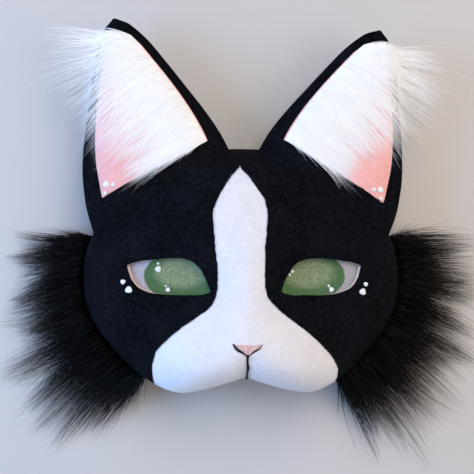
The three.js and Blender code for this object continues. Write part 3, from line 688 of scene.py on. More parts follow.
def eye_outline(side, margin, unevenness=0.0):
    """An eye opening that is larger all round by a margin."""
    lids = np.concatenate([curve_through(UPPER_LID, 9), curve_through(LOWER_LID, 9)])
    x = side * (EYE_SPACING / 2 + (0.5 - lids[:, 0]) * EYE_LENGTH)
    y = EYE_LIFT + lids[:, 1] * EYE_HEIGHT
    middle = np.array([side * EYE_SPACING / 2, EYE_LIFT])
    grow = np.array([1 + 2 * margin / EYE_LENGTH, 1 + 2 * margin / EYE_HEIGHT])
    points = (np.stack([x, y], -1) - middle) * grow
    points *= 1 + uneven(len(points), unevenness / EYE_HEIGHT)[:, None]
    return points + middle + FACE_CENTRE[:2]


def blaze_edge(sign, unevenness):
    """One long edge of the white felt, from its tip over the brow down past the muzzle."""
    down = np.linspace(0, 1, 170)
    half = read_table(BLAZE_TABLE, "blaze", down) * BLAZE_HALF_WIDTH
    half = half + read_table(BLAZE_TABLE, "muzzle", down) * MUZZLE_HALF_WIDTH
    half = np.maximum(half, 0) + uneven(len(down), unevenness) * (down > 0.02)
    x = read_table(BLAZE_TABLE, "shift", down) * BLAZE_HALF_WIDTH + sign * np.maximum(half, 0)
    y = BLAZE_TOP + (MUZZLE_BOTTOM - BLAZE_TOP) * down
    return np.stack([x, y], -1) + FACE_CENTRE[:2]


def edge_to_rim(edge):
    """The part of the blaze's edge on the dome, ending on the widest line, and its direction there."""
    s, _ = face_share(edge[:, 0], edge[:, 1])
    past = int(np.argmax(s >= 0.995))
    last = to_plane(edge[past - 1 : past])[0]
    angle = math.degrees(math.atan2(last[0], last[1]))
    return np.concatenate([to_plane(edge[:past]), polar(1.0, angle)[None]]), angle


def down_skirt(angle, rings):
    return polar(np.array(rings), angle)


def drawn_in(loop, distance):
    """The same loop a little smaller, so that two skins don't share an edge."""
    along = np.roll(loop, -1, axis=0) - np.roll(loop, 1, axis=0)
    outward = np.stack([along[:, 1], -along[:, 0]], -1)
    outward /= np.linalg.norm(outward, axis=1)[:, None] + TINY
    area = np.sum(loop[:, 0] * np.roll(loop[:, 1], -1) - loop[:, 1] * np.roll(loop[:, 0], -1))
    return loop - outward * math.copysign(distance, area)


blaze_right, right_exit = edge_to_rim(blaze_edge(1, CUT_UNEVENNESS))
blaze_left, left_exit = edge_to_rim(blaze_edge(-1, CUT_UNEVENNESS))
eye_loops = {side: to_plane(eye_outline(side, 0, CUT_UNEVENNESS)) for side in (-1, 1)}
SKIRT_RINGS = (1.15, 1.35, 1.6, 1.85)
print("the blaze meets the rim at", round(left_exit), "and", round(right_exit), "degrees")

# %% [markdown]
# Moulded shell
# Under the felt is a thin moulded blank. Only its cut edge shows round the eyes, and its inside
# from behind, so it is one smooth sheet with two holes in a pale matt plastic that has faint
# flow marks from moulding.

# %% Moulded plastic
def make_plastic_group():
    group, given, place = start_group("moulded skin", {"Plastic Colour": (0.8, 0.8, 0.8, 1)})
    flow = noise(group, place, 45, 3, 1.5)
    grain = noise(group, place, 900, 2)
    darker = scale_colour(group, given["Plastic Colour"], 0.86)
    colour = blend_colours(group, flow, darker, given["Plastic Colour"])
    return finish_group(group, colour, grain)


shell_finish, shell_shader = start_material("moulded plastic", 0.5)
moulded = use_group(shell_finish, make_plastic_group(), Plastic_Colour=(0.72, 0.6, 0.56, 1))
wire_colour_and_bump(shell_finish, shell_shader, moulded, 0.05)

# %% Shell
SHELL_EDGE_HIDDEN = 0.15
SHELL_ROUNDING = 0.4


def shell_hole(side):
    """The shell's opening lies just inside the felt's, and shows most at the outer lower corner."""
    wide = eye_outline(side, -SHELL_EDGE_HIDDEN)
    narrow = eye_outline(side, -SHELL_EDGE_SHOWN)
    round_the_eye = np.linspace(0, 2, len(wide))
    shown = smoothstep(round_the_eye, 1.3, 1.75)[:, None]
    return to_plane(wide * (1 - shown) + narrow * shown)


shell_loops = [ring_arc(-180, 180)[:-1], shell_hole(-1), shell_hole(1)]
shell = lay_sheet("moulded_shell", face_surface, shell_loops, filling, -SHELL_WALL, 0, SHELL_ROUNDING)
finish_piece(shell, shell_finish, "shell", "mask_shell")

# %% [markdown]
# Felt skins
# The black felt covers the whole shell and is cut away for the white blaze and muzzle, which are
# let into it edge to edge. Both wrap down the skirt to the rim.

# %% Black felt
black_outline = np.concatenate([
    blaze_right,
    down_skirt(right_exit, SKIRT_RINGS),
    ring_arc(right_exit, left_exit, FELT_HEM),
    down_skirt(left_exit, SKIRT_RINGS[::-1]),
    blaze_left[:0:-1],
])
black_felt = lay_sheet(
    "black_felt_skin",
    face_surface,
    [black_outline, eye_loops[-1], eye_loops[1]],
    filling,
    GAP,
    FELT_OUT,
    FELT_ROUNDING,
)
finish_piece(black_felt, black_felt_finish, "black_felt", "black_felt")


# %% White felt
SEAM_GAP = 0.0012
WHITE_FELT_ROUNDING = 0.6
white_outline = np.concatenate([
    blaze_right,
    down_skirt(right_exit, SKIRT_RINGS),
    ring_arc(right_exit, 360 + left_exit),
    down_skirt(left_exit, SKIRT_RINGS[::-1]),
    blaze_left[:0:-1],
])
white_loop = drawn_in(white_outline, SEAM_GAP)
white_felt = lay_sheet(
    "white_felt_skin", face_surface, [white_loop], filling, GAP, FELT_OUT, WHITE_FELT_ROUNDING
)
finish_piece(white_felt, white_felt_finish, "white_felt", "white_felt")

# %% [markdown]
# Painted eye mesh
# Behind each opening a fine plastic net is glued, which the wearer looks through. It is a real
# net here, threads over and under each other, with the eye painted on it: a grey outer corner, a
# green iris and a paler, grainy oval inside it. The paint is placed by position on the net.

# %% Eye paint group
def make_eye_group():
    inputs = {"Side": 1.0, "Corner Colour": (0.55, 0.52, 0.62, 1), "Iris Colour": (0.07, 0.17, 0.06, 1)}
    group, given, place = start_group("painted eye", inputs)
    split = add_node(group, "ShaderNodeSeparateXYZ", {0: place}).outputs
    across = calculate(group, "MULTIPLY", split[0], given["Side"])
    wobble = noise(group, place, 160, 3)
    grain = noise(group, place, 1500, 2)

    def oval(x, y, half_width, half_height, soft):
        """A mask with a wobbly edge, 1 inside the oval and 0 outside it."""
        parts = []
        for source, middle, half in ((across, x, half_width), (split[1], y, half_height)):
            moved = calculate(group, "SUBTRACT", source, middle * MM)
            scaled = calculate(group, "DIVIDE", moved, half * MM)
            parts.append(calculate(group, "MULTIPLY", scaled, scaled))
        total = calculate(group, "ADD", *parts)
        rough = calculate(group, "MULTIPLY_ADD", wobble, 0.16, total)
        return stretch(group, rough, 1.08 + soft, 1.08 - soft)

    iris = oval(31.0, FACE_CENTRE[1] - 1.2, 21.5, 13.5, 0.04)
    pale = oval(33.0, FACE_CENTRE[1] + 0.4, 13.6, 7.8, 0.4)
    speckle = stretch(group, grain, 0.3, 0.7)
    deep = blend_colours(group, speckle, (0.03, 0.1, 0.03, 1), (0.12, 0.27, 0.1, 1))
    green = blend_colours(group, 0.3, deep, given["Iris Colour"])
    bright = blend_colours(group, speckle, (0.11, 0.19, 0.09, 1), (0.4, 0.48, 0.29, 1))
    inner = blend_colours(group, pale, green, bright)
    return finish_group(group, blend_colours(group, iris, given["Corner Colour"], inner), grain)


eye_group = make_eye_group()

# %% Weave the net
NET_PITCH = 0.78
NET_THREAD = 0.6
NET_THICKNESS = 0.26
NET_MIDDLE = -SHELL_WALL - GAP - 0.4


def net_threads(outline, direction):
    """Flat threads across an outline, each a row of sections over and under the others."""
    points, faces = [], []
    other = 1 - direction
    low, high = outline.min(0), outline.max(0)
    after = np.roll(outline, -1, axis=0)
    base = 0
    for k, level in enumerate(np.arange(low[other] + NET_PITCH, high[other], NET_PITCH)):
        crosses = (outline[:, other] > level) != (after[:, other] > level)
        start, end = outline[crosses], after[crosses]
        share = (level - start[:, other]) / (end[:, other] - start[:, other])
        ends = start[:, direction] + share * (end[:, direction] - start[:, direction])
        if len(ends) < 2:
            continue
        count = max(3, int((ends.max() - ends.min()) / NET_PITCH))
        run = np.linspace(ends.min(), ends.max(), count)
        wave = 0.5 * NET_THICKNESS * np.cos(math.pi * (np.arange(count) + k + direction))
        for sign, rise in ((-1, -0.5), (1, -0.5), (1, 0.5), (-1, 0.5)):
            place = np.zeros((count, 2))
            place[:, direction] = run
            place[:, other] = level + sign * NET_THREAD / 2
            spot, normal = face_surface(to_plane(place))
            points.append(spot + normal * (NET_MIDDLE + wave + rise * NET_THICKNESS)[:, None])
        for i in range(base, base + count - 1):
            for c in range(4):
                here, beside = i + c * count, i + (c + 1) % 4 * count
                faces.append((here, beside, beside + 1, here + 1))
        base += 4 * count
    return np.concatenate(points), np.array(faces)


NET_FINISH_ROUGHNESS = 0.55
CORNER_COLOURS = {"left": (0.55, 0.52, 0.62, 1), "right": (0.48, 0.47, 0.5, 1)}
for side, name in ((-1, "left"), (1, "right")):
    outline = eye_outline(side, MESH_OVERLAP)
    level_points, level_faces = net_threads(outline, 0)
    upright_points, upright_faces = net_threads(outline, 1)
    net = mesh_object(
        "eye_net_" + name,
        np.concatenate([level_points, upright_points]),
        np.concatenate([level_faces, upright_faces + len(level_points)]),
    )
    net_finish, net_shader = start_material("painted net " + name, NET_FINISH_ROUGHNESS)
    paint = use_group(net_finish, eye_group, Side=float(side), Corner_Colour=CORNER_COLOURS[name])
    wire_colour_and_bump(net_finish, net_shader, paint, 0.06)
    finish_piece(net, net_finish, "eye_mesh", "eye_mesh_" + name)

# %% [markdown]
# Raised paint
# The white dots beside the eyes, the highlights on them and the line under the nose are thick
# paint that stands up in glossy beads. Each dot is a low dome with a wobbly outline, and the line
# is a half-round bead that follows the face.

# %% Glossy paint
def make_paint_group():
    group, given, place = start_group("thick paint", {"Paint Colour": (0.9, 0.9, 0.9, 1)})
    streak = noise(group, place, 700, 3)
    darker = scale_colour(group, given["Paint Colour"], 0.9)
    colour = blend_colours(group, streak, darker, given["Paint Colour"])
    return finish_group(group, colour, streak)


paint_group = make_paint_group()


def make_paint(name, colour, roughness, coat, specular):
    material, shader = start_material(name, roughness, Coat_Weight=coat, Coat_Roughness=0.15)
    shader.inputs["Specular IOR Level"].default_value = specular
    wire_colour_and_bump(material, shader, use_group(material, paint_group, Paint_Colour=colour), 0.04)
    return material


white_paint = make_paint(
    "white dot paint", (0.93, 0.94, 0.94, 1), roughness=0.25, coat=0.6, specular=0.5
)
black_paint = make_paint(
    "black line paint", (0.003, 0.003, 0.004, 1), roughness=0.5, coat=0.0, specular=0.2
)

# %% Dots of paint
DOME_SPOKES = 20
DOME_ROWS = 6
DOME_WOBBLE = 0.09
PAINT_LIFT = 0.15
DOT_HEIGHT = 0.8
HIGHLIGHT_HEIGHT = 0.35


def paint_dome(surface, x, y, radius, height, offset):
    """Points and faces of one dome of paint on a form, with a wobbly outline."""
    turn = np.arange(DOME_SPOKES) * 2 * math.pi / DOME_SPOKES
    reach = radius * (1 + DOME_WOBBLE * np.sin(turn * 3 + x))
    outline = np.stack([reach * np.cos(turn), reach * np.sin(turn)], -1)
    flat = [np.array([[x, y]])]
    rise = [height]
    for i in range(1, DOME_ROWS + 1):
        tip = math.radians(90 * i / DOME_ROWS)
        flat.append([x, y] + outline * math.sin(tip))
        rise += [height * math.cos(tip)] * DOME_SPOKES
    flat = np.concatenate([*flat, flat[0]])
    rise += [-0.2]
    spot, normal = surface(flat)
    points = spot + normal * (np.array(rise) + offset)[:, None]
    faces = []
    last = 1 + (DOME_ROWS - 1) * DOME_SPOKES
    for c in range(DOME_SPOKES):
        d = (c + 1) % DOME_SPOKES
        faces.append((0, 1 + c, 1 + d))
        faces.append((last + c, len(flat) - 1, last + d))
        for a in range(1, last, DOME_SPOKES):
            b = a + DOME_SPOKES
            faces += [(a + c, b + c, b + d), (a + c, b + d, a + d)]
    return points, np.array(faces)


def join_parts(parts):
    points = np.concatenate([p for p, f in parts])
    starts = np.cumsum([0] + [len(p) for p, f in parts[:-1]])
    return points, np.concatenate([f + start for (p, f), start in zip(parts, starts)])


def flat_to_face(flat):
    return face_surface(to_plane(flat + FACE_CENTRE[:2]))


# Node ending, side, across and up from the eye's outer corner over its length and height, radius.
DOT_TABLE = [
    ("left_upper", -1, 0.032, -0.45, 1.3),
    ("left_lower", -1, -0.037, -0.657, 1.75),
    ("right_upper", 1, 0.037, -0.505, 1.2),
    ("right_lower", 1, -0.005, -0.702, 1.75),
]
for ending, side, across, up, radius in DOT_TABLE:
    x = side * (EYE_SPACING / 2 + EYE_LENGTH / 2 + across * EYE_LENGTH)
    y = EYE_LIFT + (UPPER_LID[0][1] + up) * EYE_HEIGHT
    dome = paint_dome(flat_to_face, x, y, radius, DOT_HEIGHT, FELT_OUT + PAINT_LIFT)
    dot = mesh_object("felt_dot_" + ending, *dome)
    finish_piece(dot, white_paint, "dot_paint", "paint_dot_" + ending)

# %% Highlights painted on the eyes
# Places from the face's middle, with each dot's radius.
HIGHLIGHTS = [
    (-45.5, 4.9, 0.75),
    (-45.4, 2.0, 1.55),
    (-41.3, -6.2, 0.6),
    (-40.2, -8.0, 1.15),
    (24.3, 2.8, 0.75),
    (24.9, 0.9, 0.9),
    (23.6, -0.7, 0.7),
    (44.0, -6.1, 0.75),
    (45.4, -7.9, 1.3),
]
domes = [paint_dome(flat_to_face, *place, HIGHLIGHT_HEIGHT, -SHELL_WALL - GAP) for place in HIGHLIGHTS]
highlights = mesh_object("eye_highlights", *join_parts(domes))
finish_piece(highlights, white_paint, "dot_paint")

# %% Nose with glitter
def make_glitter_group():
    inputs = {"Paint Colour": (0.68, 0.38, 0.36, 1), "Flake Colour": (1.0, 0.85, 0.8, 1)}
    group, given, place = start_group("glitter paint", inputs)
    flakes = add_node(group, "ShaderNodeTexVoronoi", {"Vector": place, "Scale": 2600})
    split = add_node(group, "ShaderNodeSeparateColor", {0: flakes.outputs["Color"]}).outputs
    bright = stretch(group, split[0], 0.55, 0.95)
    colour = blend_colours(group, bright, given["Paint Colour"], given["Flake Colour"])
    rough = stretch(group, split[1], to_low=0.15, to_high=0.7)
    return finish_group(group, colour, split[2], Roughness=rough)


NOSE_WIDTH = 11.6
NOSE_HEIGHT = 3.9
NOSE_TOP = -35.2
NOSE_ARCH = 0.1
NOSE_BLUNTNESS = 0.16
NOSE_BACK = 0.1
NOSE_FRONT = 0.9
NOSE_ROUNDING = 0.5
NOSE_FILL_STEP = 0.5
NOSE_EDGE_ROWS = (0.15, 0.4)
nose_side = NOSE_WIDTH / 2
nose_foot = NOSE_TOP - NOSE_HEIGHT
nose_finish, nose_shader = start_material("glittered pink paint", 0.4)
glitter = use_group(nose_finish, make_glitter_group())
wire_colour_and_bump(nose_finish, nose_shader, glitter, 0.08)
nose_finish.node_tree.links.new(glitter.outputs["Roughness"], nose_shader.inputs["Roughness"])


def nose_outline():
    corner = (nose_side, NOSE_TOP)
    shoulder = (nose_side * 0.35, NOSE_TOP + NOSE_ARCH)
    top = [(-corner[0], corner[1]), (-shoulder[0], shoulder[1]), shoulder, corner]
    right = [
        corner,
        (nose_side * 0.75, NOSE_TOP - NOSE_HEIGHT * 0.42),
        (nose_side * NOSE_BLUNTNESS, nose_foot),
    ]
    left = [(-x, y) for x, y in right[::-1]]
    sides = [curve_through(right, 10), [right[-1]], curve_through(left, 10)]
    return np.concatenate([curve_through(top, 10), *sides])


def nose_filling():
    across = np.arange(-6, 6.1, NOSE_FILL_STEP)
    up = np.arange(NOSE_TOP - 6, NOSE_TOP + 1, NOSE_FILL_STEP)
    return to_plane(np.array([(x, y) for x in across for y in up]) + FACE_CENTRE[:2])


nose = lay_sheet(
    "pink_nose",
    face_surface,
    [to_plane(nose_outline() + FACE_CENTRE[:2])],
    nose_filling(),
    FELT_OUT + NOSE_BACK,
    FELT_OUT + NOSE_FRONT,
    NOSE_ROUNDING,
    edge_rows=NOSE_EDGE_ROWS,
)
finish_piece(nose, nose_finish, "nose_paint", "nose")

# %% Line under the nose
MOUTH_LINE_END = -52.3


def bead(path, widths, height):
    """A half-round bead of paint along a line of places on the face."""
    line = curve_through(path, 12)
    width = curve_through([(w, 0) for w in widths], 12)[:, 0]
    along = np.gradient(line, axis=0)
    across = np.stack([-along[:, 1], along[:, 0]], -1) / np.linalg.norm(along, axis=1)[:, None]
    sections = []
    for turn in np.radians([-20, 10, 40, 65, 90, 115, 140, 170, 200]):
        spot, normal = flat_to_face(line + across * (width * math.cos(turn) / 2)[:, None])
        lift = height * np.minimum(1, width / max(widths)) * math.sin(turn)
        sections.append(spot + normal * (FELT_OUT + PAINT_LIFT + lift)[:, None])
    points = np.stack(sections, 1)
    return points.reshape(-1, 3), tube_faces(*points.shape[:2])


# The path of each branch from the nose's left side, its right side and its foot.
left_branch = [
    (-nose_side - 1.2, NOSE_TOP + 0.4),
    (-nose_side + 0.4, NOSE_TOP - 1.9),
    (-2.6, nose_foot + 0.7),
    (0, nose_foot - 0.6),
]
right_branch = [
    (nose_side + 1.0, NOSE_TOP + 0.2),
    (nose_side - 0.2, NOSE_TOP - 1.6),
    (2.8, nose_foot + 0.9),
    (0, nose_foot - 0.5),
]
stem = [
    (-0.1, nose_foot - 0.2),
    (-0.1, nose_foot - 3.6),
    (0.55, nose_foot - 6.2),
    (0.4, nose_foot - 9.4),
    (0.9, MOUTH_LINE_END),
]
branches = [
    bead(left_branch, (0.8, 1.15, 1.0, 0.9), 0.6),
    bead(right_branch, (0.35, 0.6, 0.75, 0.8), 0.45),
    bead(stem, (2.1, 1.6, 2.2, 1.6, 1.9), 1.0),
]
mouth_line = mesh_object("mouth_bead", *join_parts(branches))
finish_piece(mouth_line, black_paint, "line_paint", "mouth_line")

# %% [markdown]
# Padded ears
# Each ear is black felt over padding, curled at its sides, with a pink lining set into its front.
# The ear is a loft of rounded sections that runs down into the head and is trimmed to it with a
# boolean cut. The lining is a puffed sheet laid into a soft recess, and over the forehead's felt.

# %% Ear sizes and form
EAR_LENGTH = 97.5
EAR_HALF_WIDTH = 41.8
EAR_WALL = 5.0
EAR_ROOT = 18.0
EAR_TUCK = 5.0
EAR_TILT = 7.0
EAR_SIDE_DROP = 13.0
EAR_TIP_DROP = 5.0
EAR_BORDER_AT_TIP = 5.3
EAR_BORDER_AT_FOOT = 9.6
EAR_NARROWEST = 7.8
EAR_STEP = 2.0
EAR_SEAT = (0.515 * FACE_HALF_WIDTH, 0.68 * FACE_HALF_HEIGHT)
LINING_TIP_GAP = 12.4
LINING_RECESS = 1.5
LINING_LIFT = 3.2
LINING_SLOPE = 15.0
# Along the ear from its seat to its tip, and the half width as a share of the greatest.
EAR_TABLE = named_table(("along", "half_width"), [
    (0, 1),
    (0.12, 0.972),
    (0.24, 0.915),
    (0.38, 0.805),
    (0.54, 0.652),
    (0.7, 0.495),
    (0.84, 0.345),
    (0.94, 0.19),
    (1, 0.05),
])
# Name, side, lean in degrees and how far the length is stretched.
EAR_PAIR = [("left", -1, 16.0, 1.0), ("right", 1, 19.5, 0.975)]


def ear_half(y):
    return read_table(EAR_TABLE, "half_width", y / EAR_LENGTH) * EAR_HALF_WIDTH


def ear_front(x, y):
    """The height of the ear's front, which drops at its sides and is tucked back at its root."""
    share = np.clip(y / EAR_LENGTH, 0, 1)
    across = np.minimum(1.15, np.abs(x) / np.maximum(ear_half(y), EAR_NARROWEST))
    tuck = EAR_TUCK * smoothstep(-y, 0, EAR_ROOT)
    return -(EAR_SIDE_DROP + (EAR_TIP_DROP - EAR_SIDE_DROP) * share) * across**5 - tuck


def lining_half(y):
    to_tip = smoothstep(y / EAR_LENGTH, 0, 0.6)
    return ear_half(y) - (EAR_BORDER_AT_FOOT + (EAR_BORDER_AT_TIP - EAR_BORDER_AT_FOOT) * to_tip)


def lining_foot(x):
    return LINING_LIFT + LINING_SLOPE * (0.5 - 0.5 * x / lining_half(0.0))


def ear_to_world(side, lean, stretched):
    """A function that takes points of the ear's own frame to the model's frame."""
    seat = np.array([side * EAR_SEAT[0], EAR_SEAT[1] + FACE_CENTRE[1], 0])
    seat[2] = face_height(seat[0], seat[1]) + FELT_OUT + EAR_STEP
    leaned = Matrix.Rotation(math.radians(-side * lean), 3, "Z")
    turn = np.array(leaned @ Matrix.Rotation(math.radians(-EAR_TILT), 3, "X"))

    def move(points):
        return (points * [1, stretched, 1]) @ turn.T + seat

    return move


def make_ear_surface(move):
    """A form for sheets that lie on an ear's front, for points of the ear's own plane."""
    step = 0.05

    def local(p):
        return np.stack([p[:, 0], p[:, 1], ear_front(p[:, 0], p[:, 1])], -1)

    def surface(flat):
        across = local(flat + [step, 0]) - local(flat - [step, 0])
        up = local(flat + [0, step]) - local(flat - [0, step])
        normal = np.cross(across, up)
        normal /= np.linalg.norm(normal, axis=1)[:, None]
        base = move(local(flat))
        return base, move(local(flat) + normal) - base

    return surface


# %% Ear shape
FRONT_COLUMNS = 45
EAR_ROWS = 84
EAR_CAP = 6.0


def lining_outline(side):
    tip = EAR_LENGTH - LINING_TIP_GAP
    edges = []
    for sign in (1, -1):
        foot = lining_foot(sign * lining_half(0.0))
        y = foot + (tip - foot) * np.linspace(0, 0.94, 60)
        edges.append(np.stack([side * sign * lining_half(y), y], -1))
    blunt = [edges[0][-1], (side * 1.2, tip - 1.0), (-side * 1.2, tip - 1.0), edges[1][-1]]
    top = curve_through(blunt, 5)
    foot = edges[1][0] + (edges[0][0] - edges[1][0]) * np.linspace(0, 1, 40)[1:-1, None]
    return np.concatenate([edges[0], top[1:], edges[1][::-1], foot])


def loft_faces(rows, columns, first=0):
    """Triangles between closed rows of points, the first of them at a given number."""
    faces = []
    for row in range(rows - 1):
        low = first + row * columns
        for i in range(columns):
            k = (i + 1) % columns
            a, b, c, d = low + i, low + k, low + columns + k, low + columns + i
            faces += [(a, b, c), (a, c, d)]
    return faces


def ear_shape(side, move):
    """A loft of flat rounded sections from under the head up to the tip."""
    cap_start = EAR_LENGTH - EAR_CAP
    cap_rows = EAR_LENGTH - EAR_CAP * (1 - np.sin(np.radians(np.arange(9, 91, 9))))
    rows = np.concatenate([np.linspace(-EAR_ROOT, cap_start, EAR_ROWS), cap_rows])
    outline = lining_outline(side)
    edge_tree = KDTree(len(outline))
    for i, (x, y) in enumerate(outline):
        edge_tree.insert((x, y, 0), i)
    edge_tree.balance()
    flat_columns = np.linspace(-1, 1, FRONT_COLUMNS)
    arc = np.radians(np.arange(75, -90, -15))
    level = np.ones(FRONT_COLUMNS)
    rise = np.concatenate([level, np.sin(arc), -level, np.sin(arc[::-1])])
    sections = []
    for y in rows:
        half = float(ear_half(y)) * 0.999
        r = min(EAR_WALL / 2, half * 0.8)
        inner = max(half - r, 0.01)
        right = [flat_columns * inner, inner + r * np.cos(arc)]
        left = [-flat_columns * inner, -inner - r * np.cos(arc[::-1])]
        x = np.concatenate([*right, *left])
        x *= math.sqrt(max(0.05, 1 - max(0, (y - EAR_LENGTH + 3) / 3.1) ** 2))
        held = np.clip(x, -inner, inner)
        squeeze = math.sqrt(max(0.02, 1 - max(0, (y - cap_start) / 6.05) ** 2))
        z = ear_front(held, y) + EAR_WALL / 2 * (rise * squeeze - 1)
        sections.append(np.stack([x, np.full(len(x), y), z], -1))
    points = np.stack(sections)
    front = points[:, :FRONT_COLUMNS].reshape(-1, 3)
    inside = is_inside(front[:, :2], outline)
    depth = np.array([edge_tree.find((p[0], p[1], 0))[2] for p in front]) * inside
    front[:, 2] -= (LINING_RECESS + 0.3) * smoothstep(depth, 0, 2.2)
    points[:, :FRONT_COLUMNS] = front.reshape(points[:, :FRONT_COLUMNS].shape)
    count, loop = points.shape[:2]
    faces = loft_faces(count, loop)
    flat = move(points.reshape(-1, 3))
    caps = np.stack([flat[:loop].mean(0), flat[-loop:].mean(0)])
    last = (count - 1) * loop
    for i in range(loop):
        k = (i + 1) % loop
        faces += [(count * loop, k, i), (count * loop + 1, last + i, last + k)]
    return np.concatenate([flat, caps]), np.array(faces)


# %% Trim a piece to the head
BULK_FLOOR = -40
LINING_OVER_FELT = 0.9
LINING_BACK_OVER_FELT = 0.15


def make_head_bulk():
    """A closed solid of the head, from just inside the felt's surface down under the floor."""
    angles = np.arange(0, 360, 2.0)
    rings = np.concatenate([np.linspace(0, 1, 46)[1:], np.linspace(1, 2, 7)[1:]])
    plane = [np.zeros((1, 2))]
    plane += [polar(ring, angles) for ring in rings]
    spot, normal = face_surface(np.concatenate(plane))
    points = spot + normal * (FELT_OUT - 0.2)
    count = len(angles)
    floor_ring = points[-count:] * [1, 1, 0] + [0, 0, BULK_FLOOR]
    points = np.concatenate([points, floor_ring, [[0, FACE_CENTRE[1], BULK_FLOOR]]])
    faces = loft_faces(len(rings) + 1, count, 1)
    last = 1 + len(rings) * count
    for i in range(count):
        k = (i + 1) % count
        faces += [(0, 1 + k, 1 + i), (last + count, last + i, last + k)]
    return mesh_object("head_bulk", points, np.array(faces))


head_bulk = make_head_bulk()
print(len(head_bulk.data.polygons), "faces in the bulk that trims the ears")


def trim_to_head(piece):
    """Cut away what lies inside the head, and keep the result as the piece's own mesh."""
    cut = piece.modifiers.new("trim", "BOOLEAN")
    cut.operation = "DIFFERENCE"
    cut.object = head_bulk
    cut.solver = "MANIFOLD"
    seen = piece.evaluated_get(bpy.context.evaluated_depsgraph_get())
    trimmed = bpy.data.meshes.new_from_object(seen)
    piece.modifiers.clear()
    piece.data = trimmed
    trimmed.materials.clear()
    trimmed.polygons.foreach_set("material_index", np.zeros(len(trimmed.polygons), dtype=np.int32))
    trimmed.polygons.foreach_set("use_smooth", np.ones(len(trimmed.polygons), dtype=bool))


def lay_over_head(sheet):
    """Lift the part of a lining that would run into the forehead, so that it lies over its felt."""
    points = np.zeros(len(sheet.data.vertices) * 3)
    sheet.data.vertices.foreach_get("co", points)
    points = points.reshape(-1, 3) / MM
    share, _ = face_share(points[:, 0], points[:, 1])
    is_top = np.arange(len(points)) < len(points) // 2
    over = np.where(is_top, LINING_OVER_FELT, LINING_BACK_OVER_FELT)
    felt = face_height(points[:, 0], points[:, 1]) + FELT_OUT + over
    points[:, 2] = np.where(share < ON_HEAD, np.maximum(points[:, 2], felt), points[:, 2])
    sheet.data.vertices.foreach_set("co", (points * MM).ravel())
    sheet.data.update()


# %% Make the ears and their linings
def ear_filling():
    rows = np.arange(0, 95, 1.8)
    columns = np.arange(-38, 38, 2.0)
    return np.array([(x + j % 2, y) for j, y in enumerate(rows) for x in columns])


LINING_BACK = -1.2
LINING_FRONT = -0.35
LINING_ROUNDING = 0.7
LINING_PUFF = 0.9
LINING_DOT_HEIGHT = 0.7
LINING_DOT_LIFT = 0.25
# From the lining's lower outer corner inwards, height over the ear's seat, radius.
LINING_DOT_TABLE = [
    (4.5, 10.0, 1.7),
    (8.0, 8.5, 1.2),
    (2.8, 5.6, 1.1),
]
ear_moves = {}
for name, side, lean, stretched in EAR_PAIR:
    move = ear_to_world(side, lean, stretched)
    ear_moves[name] = move
    ear = mesh_object("padded_ear_" + name, *ear_shape(side, move))
    trim_to_head(ear)
    finish_piece(ear, black_felt_finish, "black_felt", "ear_" + name)
    outline = lining_outline(side)
    if side < 0:
        outline = outline[::-1]
    ear_surface = make_ear_surface(move)
    lining = lay_sheet(
        "pink_lining_" + name,
        ear_surface,
        [outline],
        ear_filling(),
        LINING_BACK,
        LINING_FRONT,
        LINING_ROUNDING,
        LINING_PUFF,
    )
    lay_over_head(lining)
    finish_piece(lining, pink_felt_finish, "pink_felt", "ear_lining_" + name)
    corner = lining_half(8.0)
    domes = []
    for inwards, up, radius in LINING_DOT_TABLE:
        x = side * (corner - inwards)
        domes.append(paint_dome(ear_surface, x, up, radius, LINING_DOT_HEIGHT, LINING_DOT_LIFT))
    lining_dots = mesh_object("lining_dots_" + name, *join_parts(domes))
    finish_piece(lining_dots, white_paint, "dot_paint")

# %% [markdown]
# Long fur
# Faux fur is thousands of tapered strands that gather into pointed locks. Each strand is a narrow
# ribbon along its own path, bent towards the middle of its lock, so the fur reads as locks from
# afar and as strands from close up. Plain meshes were chosen over hair curves so that the fur can
# go wherever a mesh can.

# %% Fur finish
def make_fur_group():
    dark, brown = (0.01, 0.01, 0.01, 1), (0.1, 0.08, 0.07, 1)
    inputs = {"Root Colour": dark, "Tip Colour": brown, "Tip Start": 0.4, "Variation": 0.5}
    group, given, place = start_group("fur strand", inputs)
    along = add_node(group, "ShaderNodeAttribute", attribute_name="along").outputs["Fac"]
    tone = add_node(group, "ShaderNodeAttribute", attribute_name="tone").outputs["Fac"]
    tipped = stretch(group, along, given["Tip Start"])
    colour = blend_colours(group, tipped, given["Root Colour"], given["Tip Colour"])
    shade = calculate(group, "MULTIPLY_ADD", tone, given["Variation"], 1.0)
    return finish_group(group, scale_colour(group, colour, shade), noise(group, place, 1600, 1))


fur_group = make_fur_group()


def make_fur(name, roughness, specular, painted_glow=0.0, **values):
    material, shader = start_material(name, roughness, Specular_IOR_Level=specular)
    strand = use_group(material, fur_group, **values)
    wire_colour_and_bump(material, shader, strand, 0.02)
    # A little glow in the strand colour is painted light: it stands in for light passing from strand to
    # strand.
    if painted_glow:
        material.node_tree.links.new(strand.outputs["Colour"], shader.inputs["Emission Color"])
        shader.inputs["Emission Strength"].default_value = painted_glow
    return material


black_fur_finish = make_fur(
    "black fur",
    roughness=0.45,
    specular=0.1,
    Root_Colour=(0.0012, 0.0012, 0.0018, 1),
    Tip_Colour=(0.065, 0.044, 0.033, 1),
    Tip_Start=0.55,
    Variation=0.45,
)
white_fur_finish = make_fur(
    "white fur",
    roughness=0.6,
    specular=0.2,
    # The white fur glows a little: painted light for the light that passes through its strands.
    painted_glow=0.16,
    Root_Colour=(0.9, 0.9, 0.91, 1),
    Tip_Colour=(0.86, 0.88, 0.92, 1),
    Tip_Start=0.45,
    Variation=0.08,
)

# %% Grow strands
STATIONS = 8


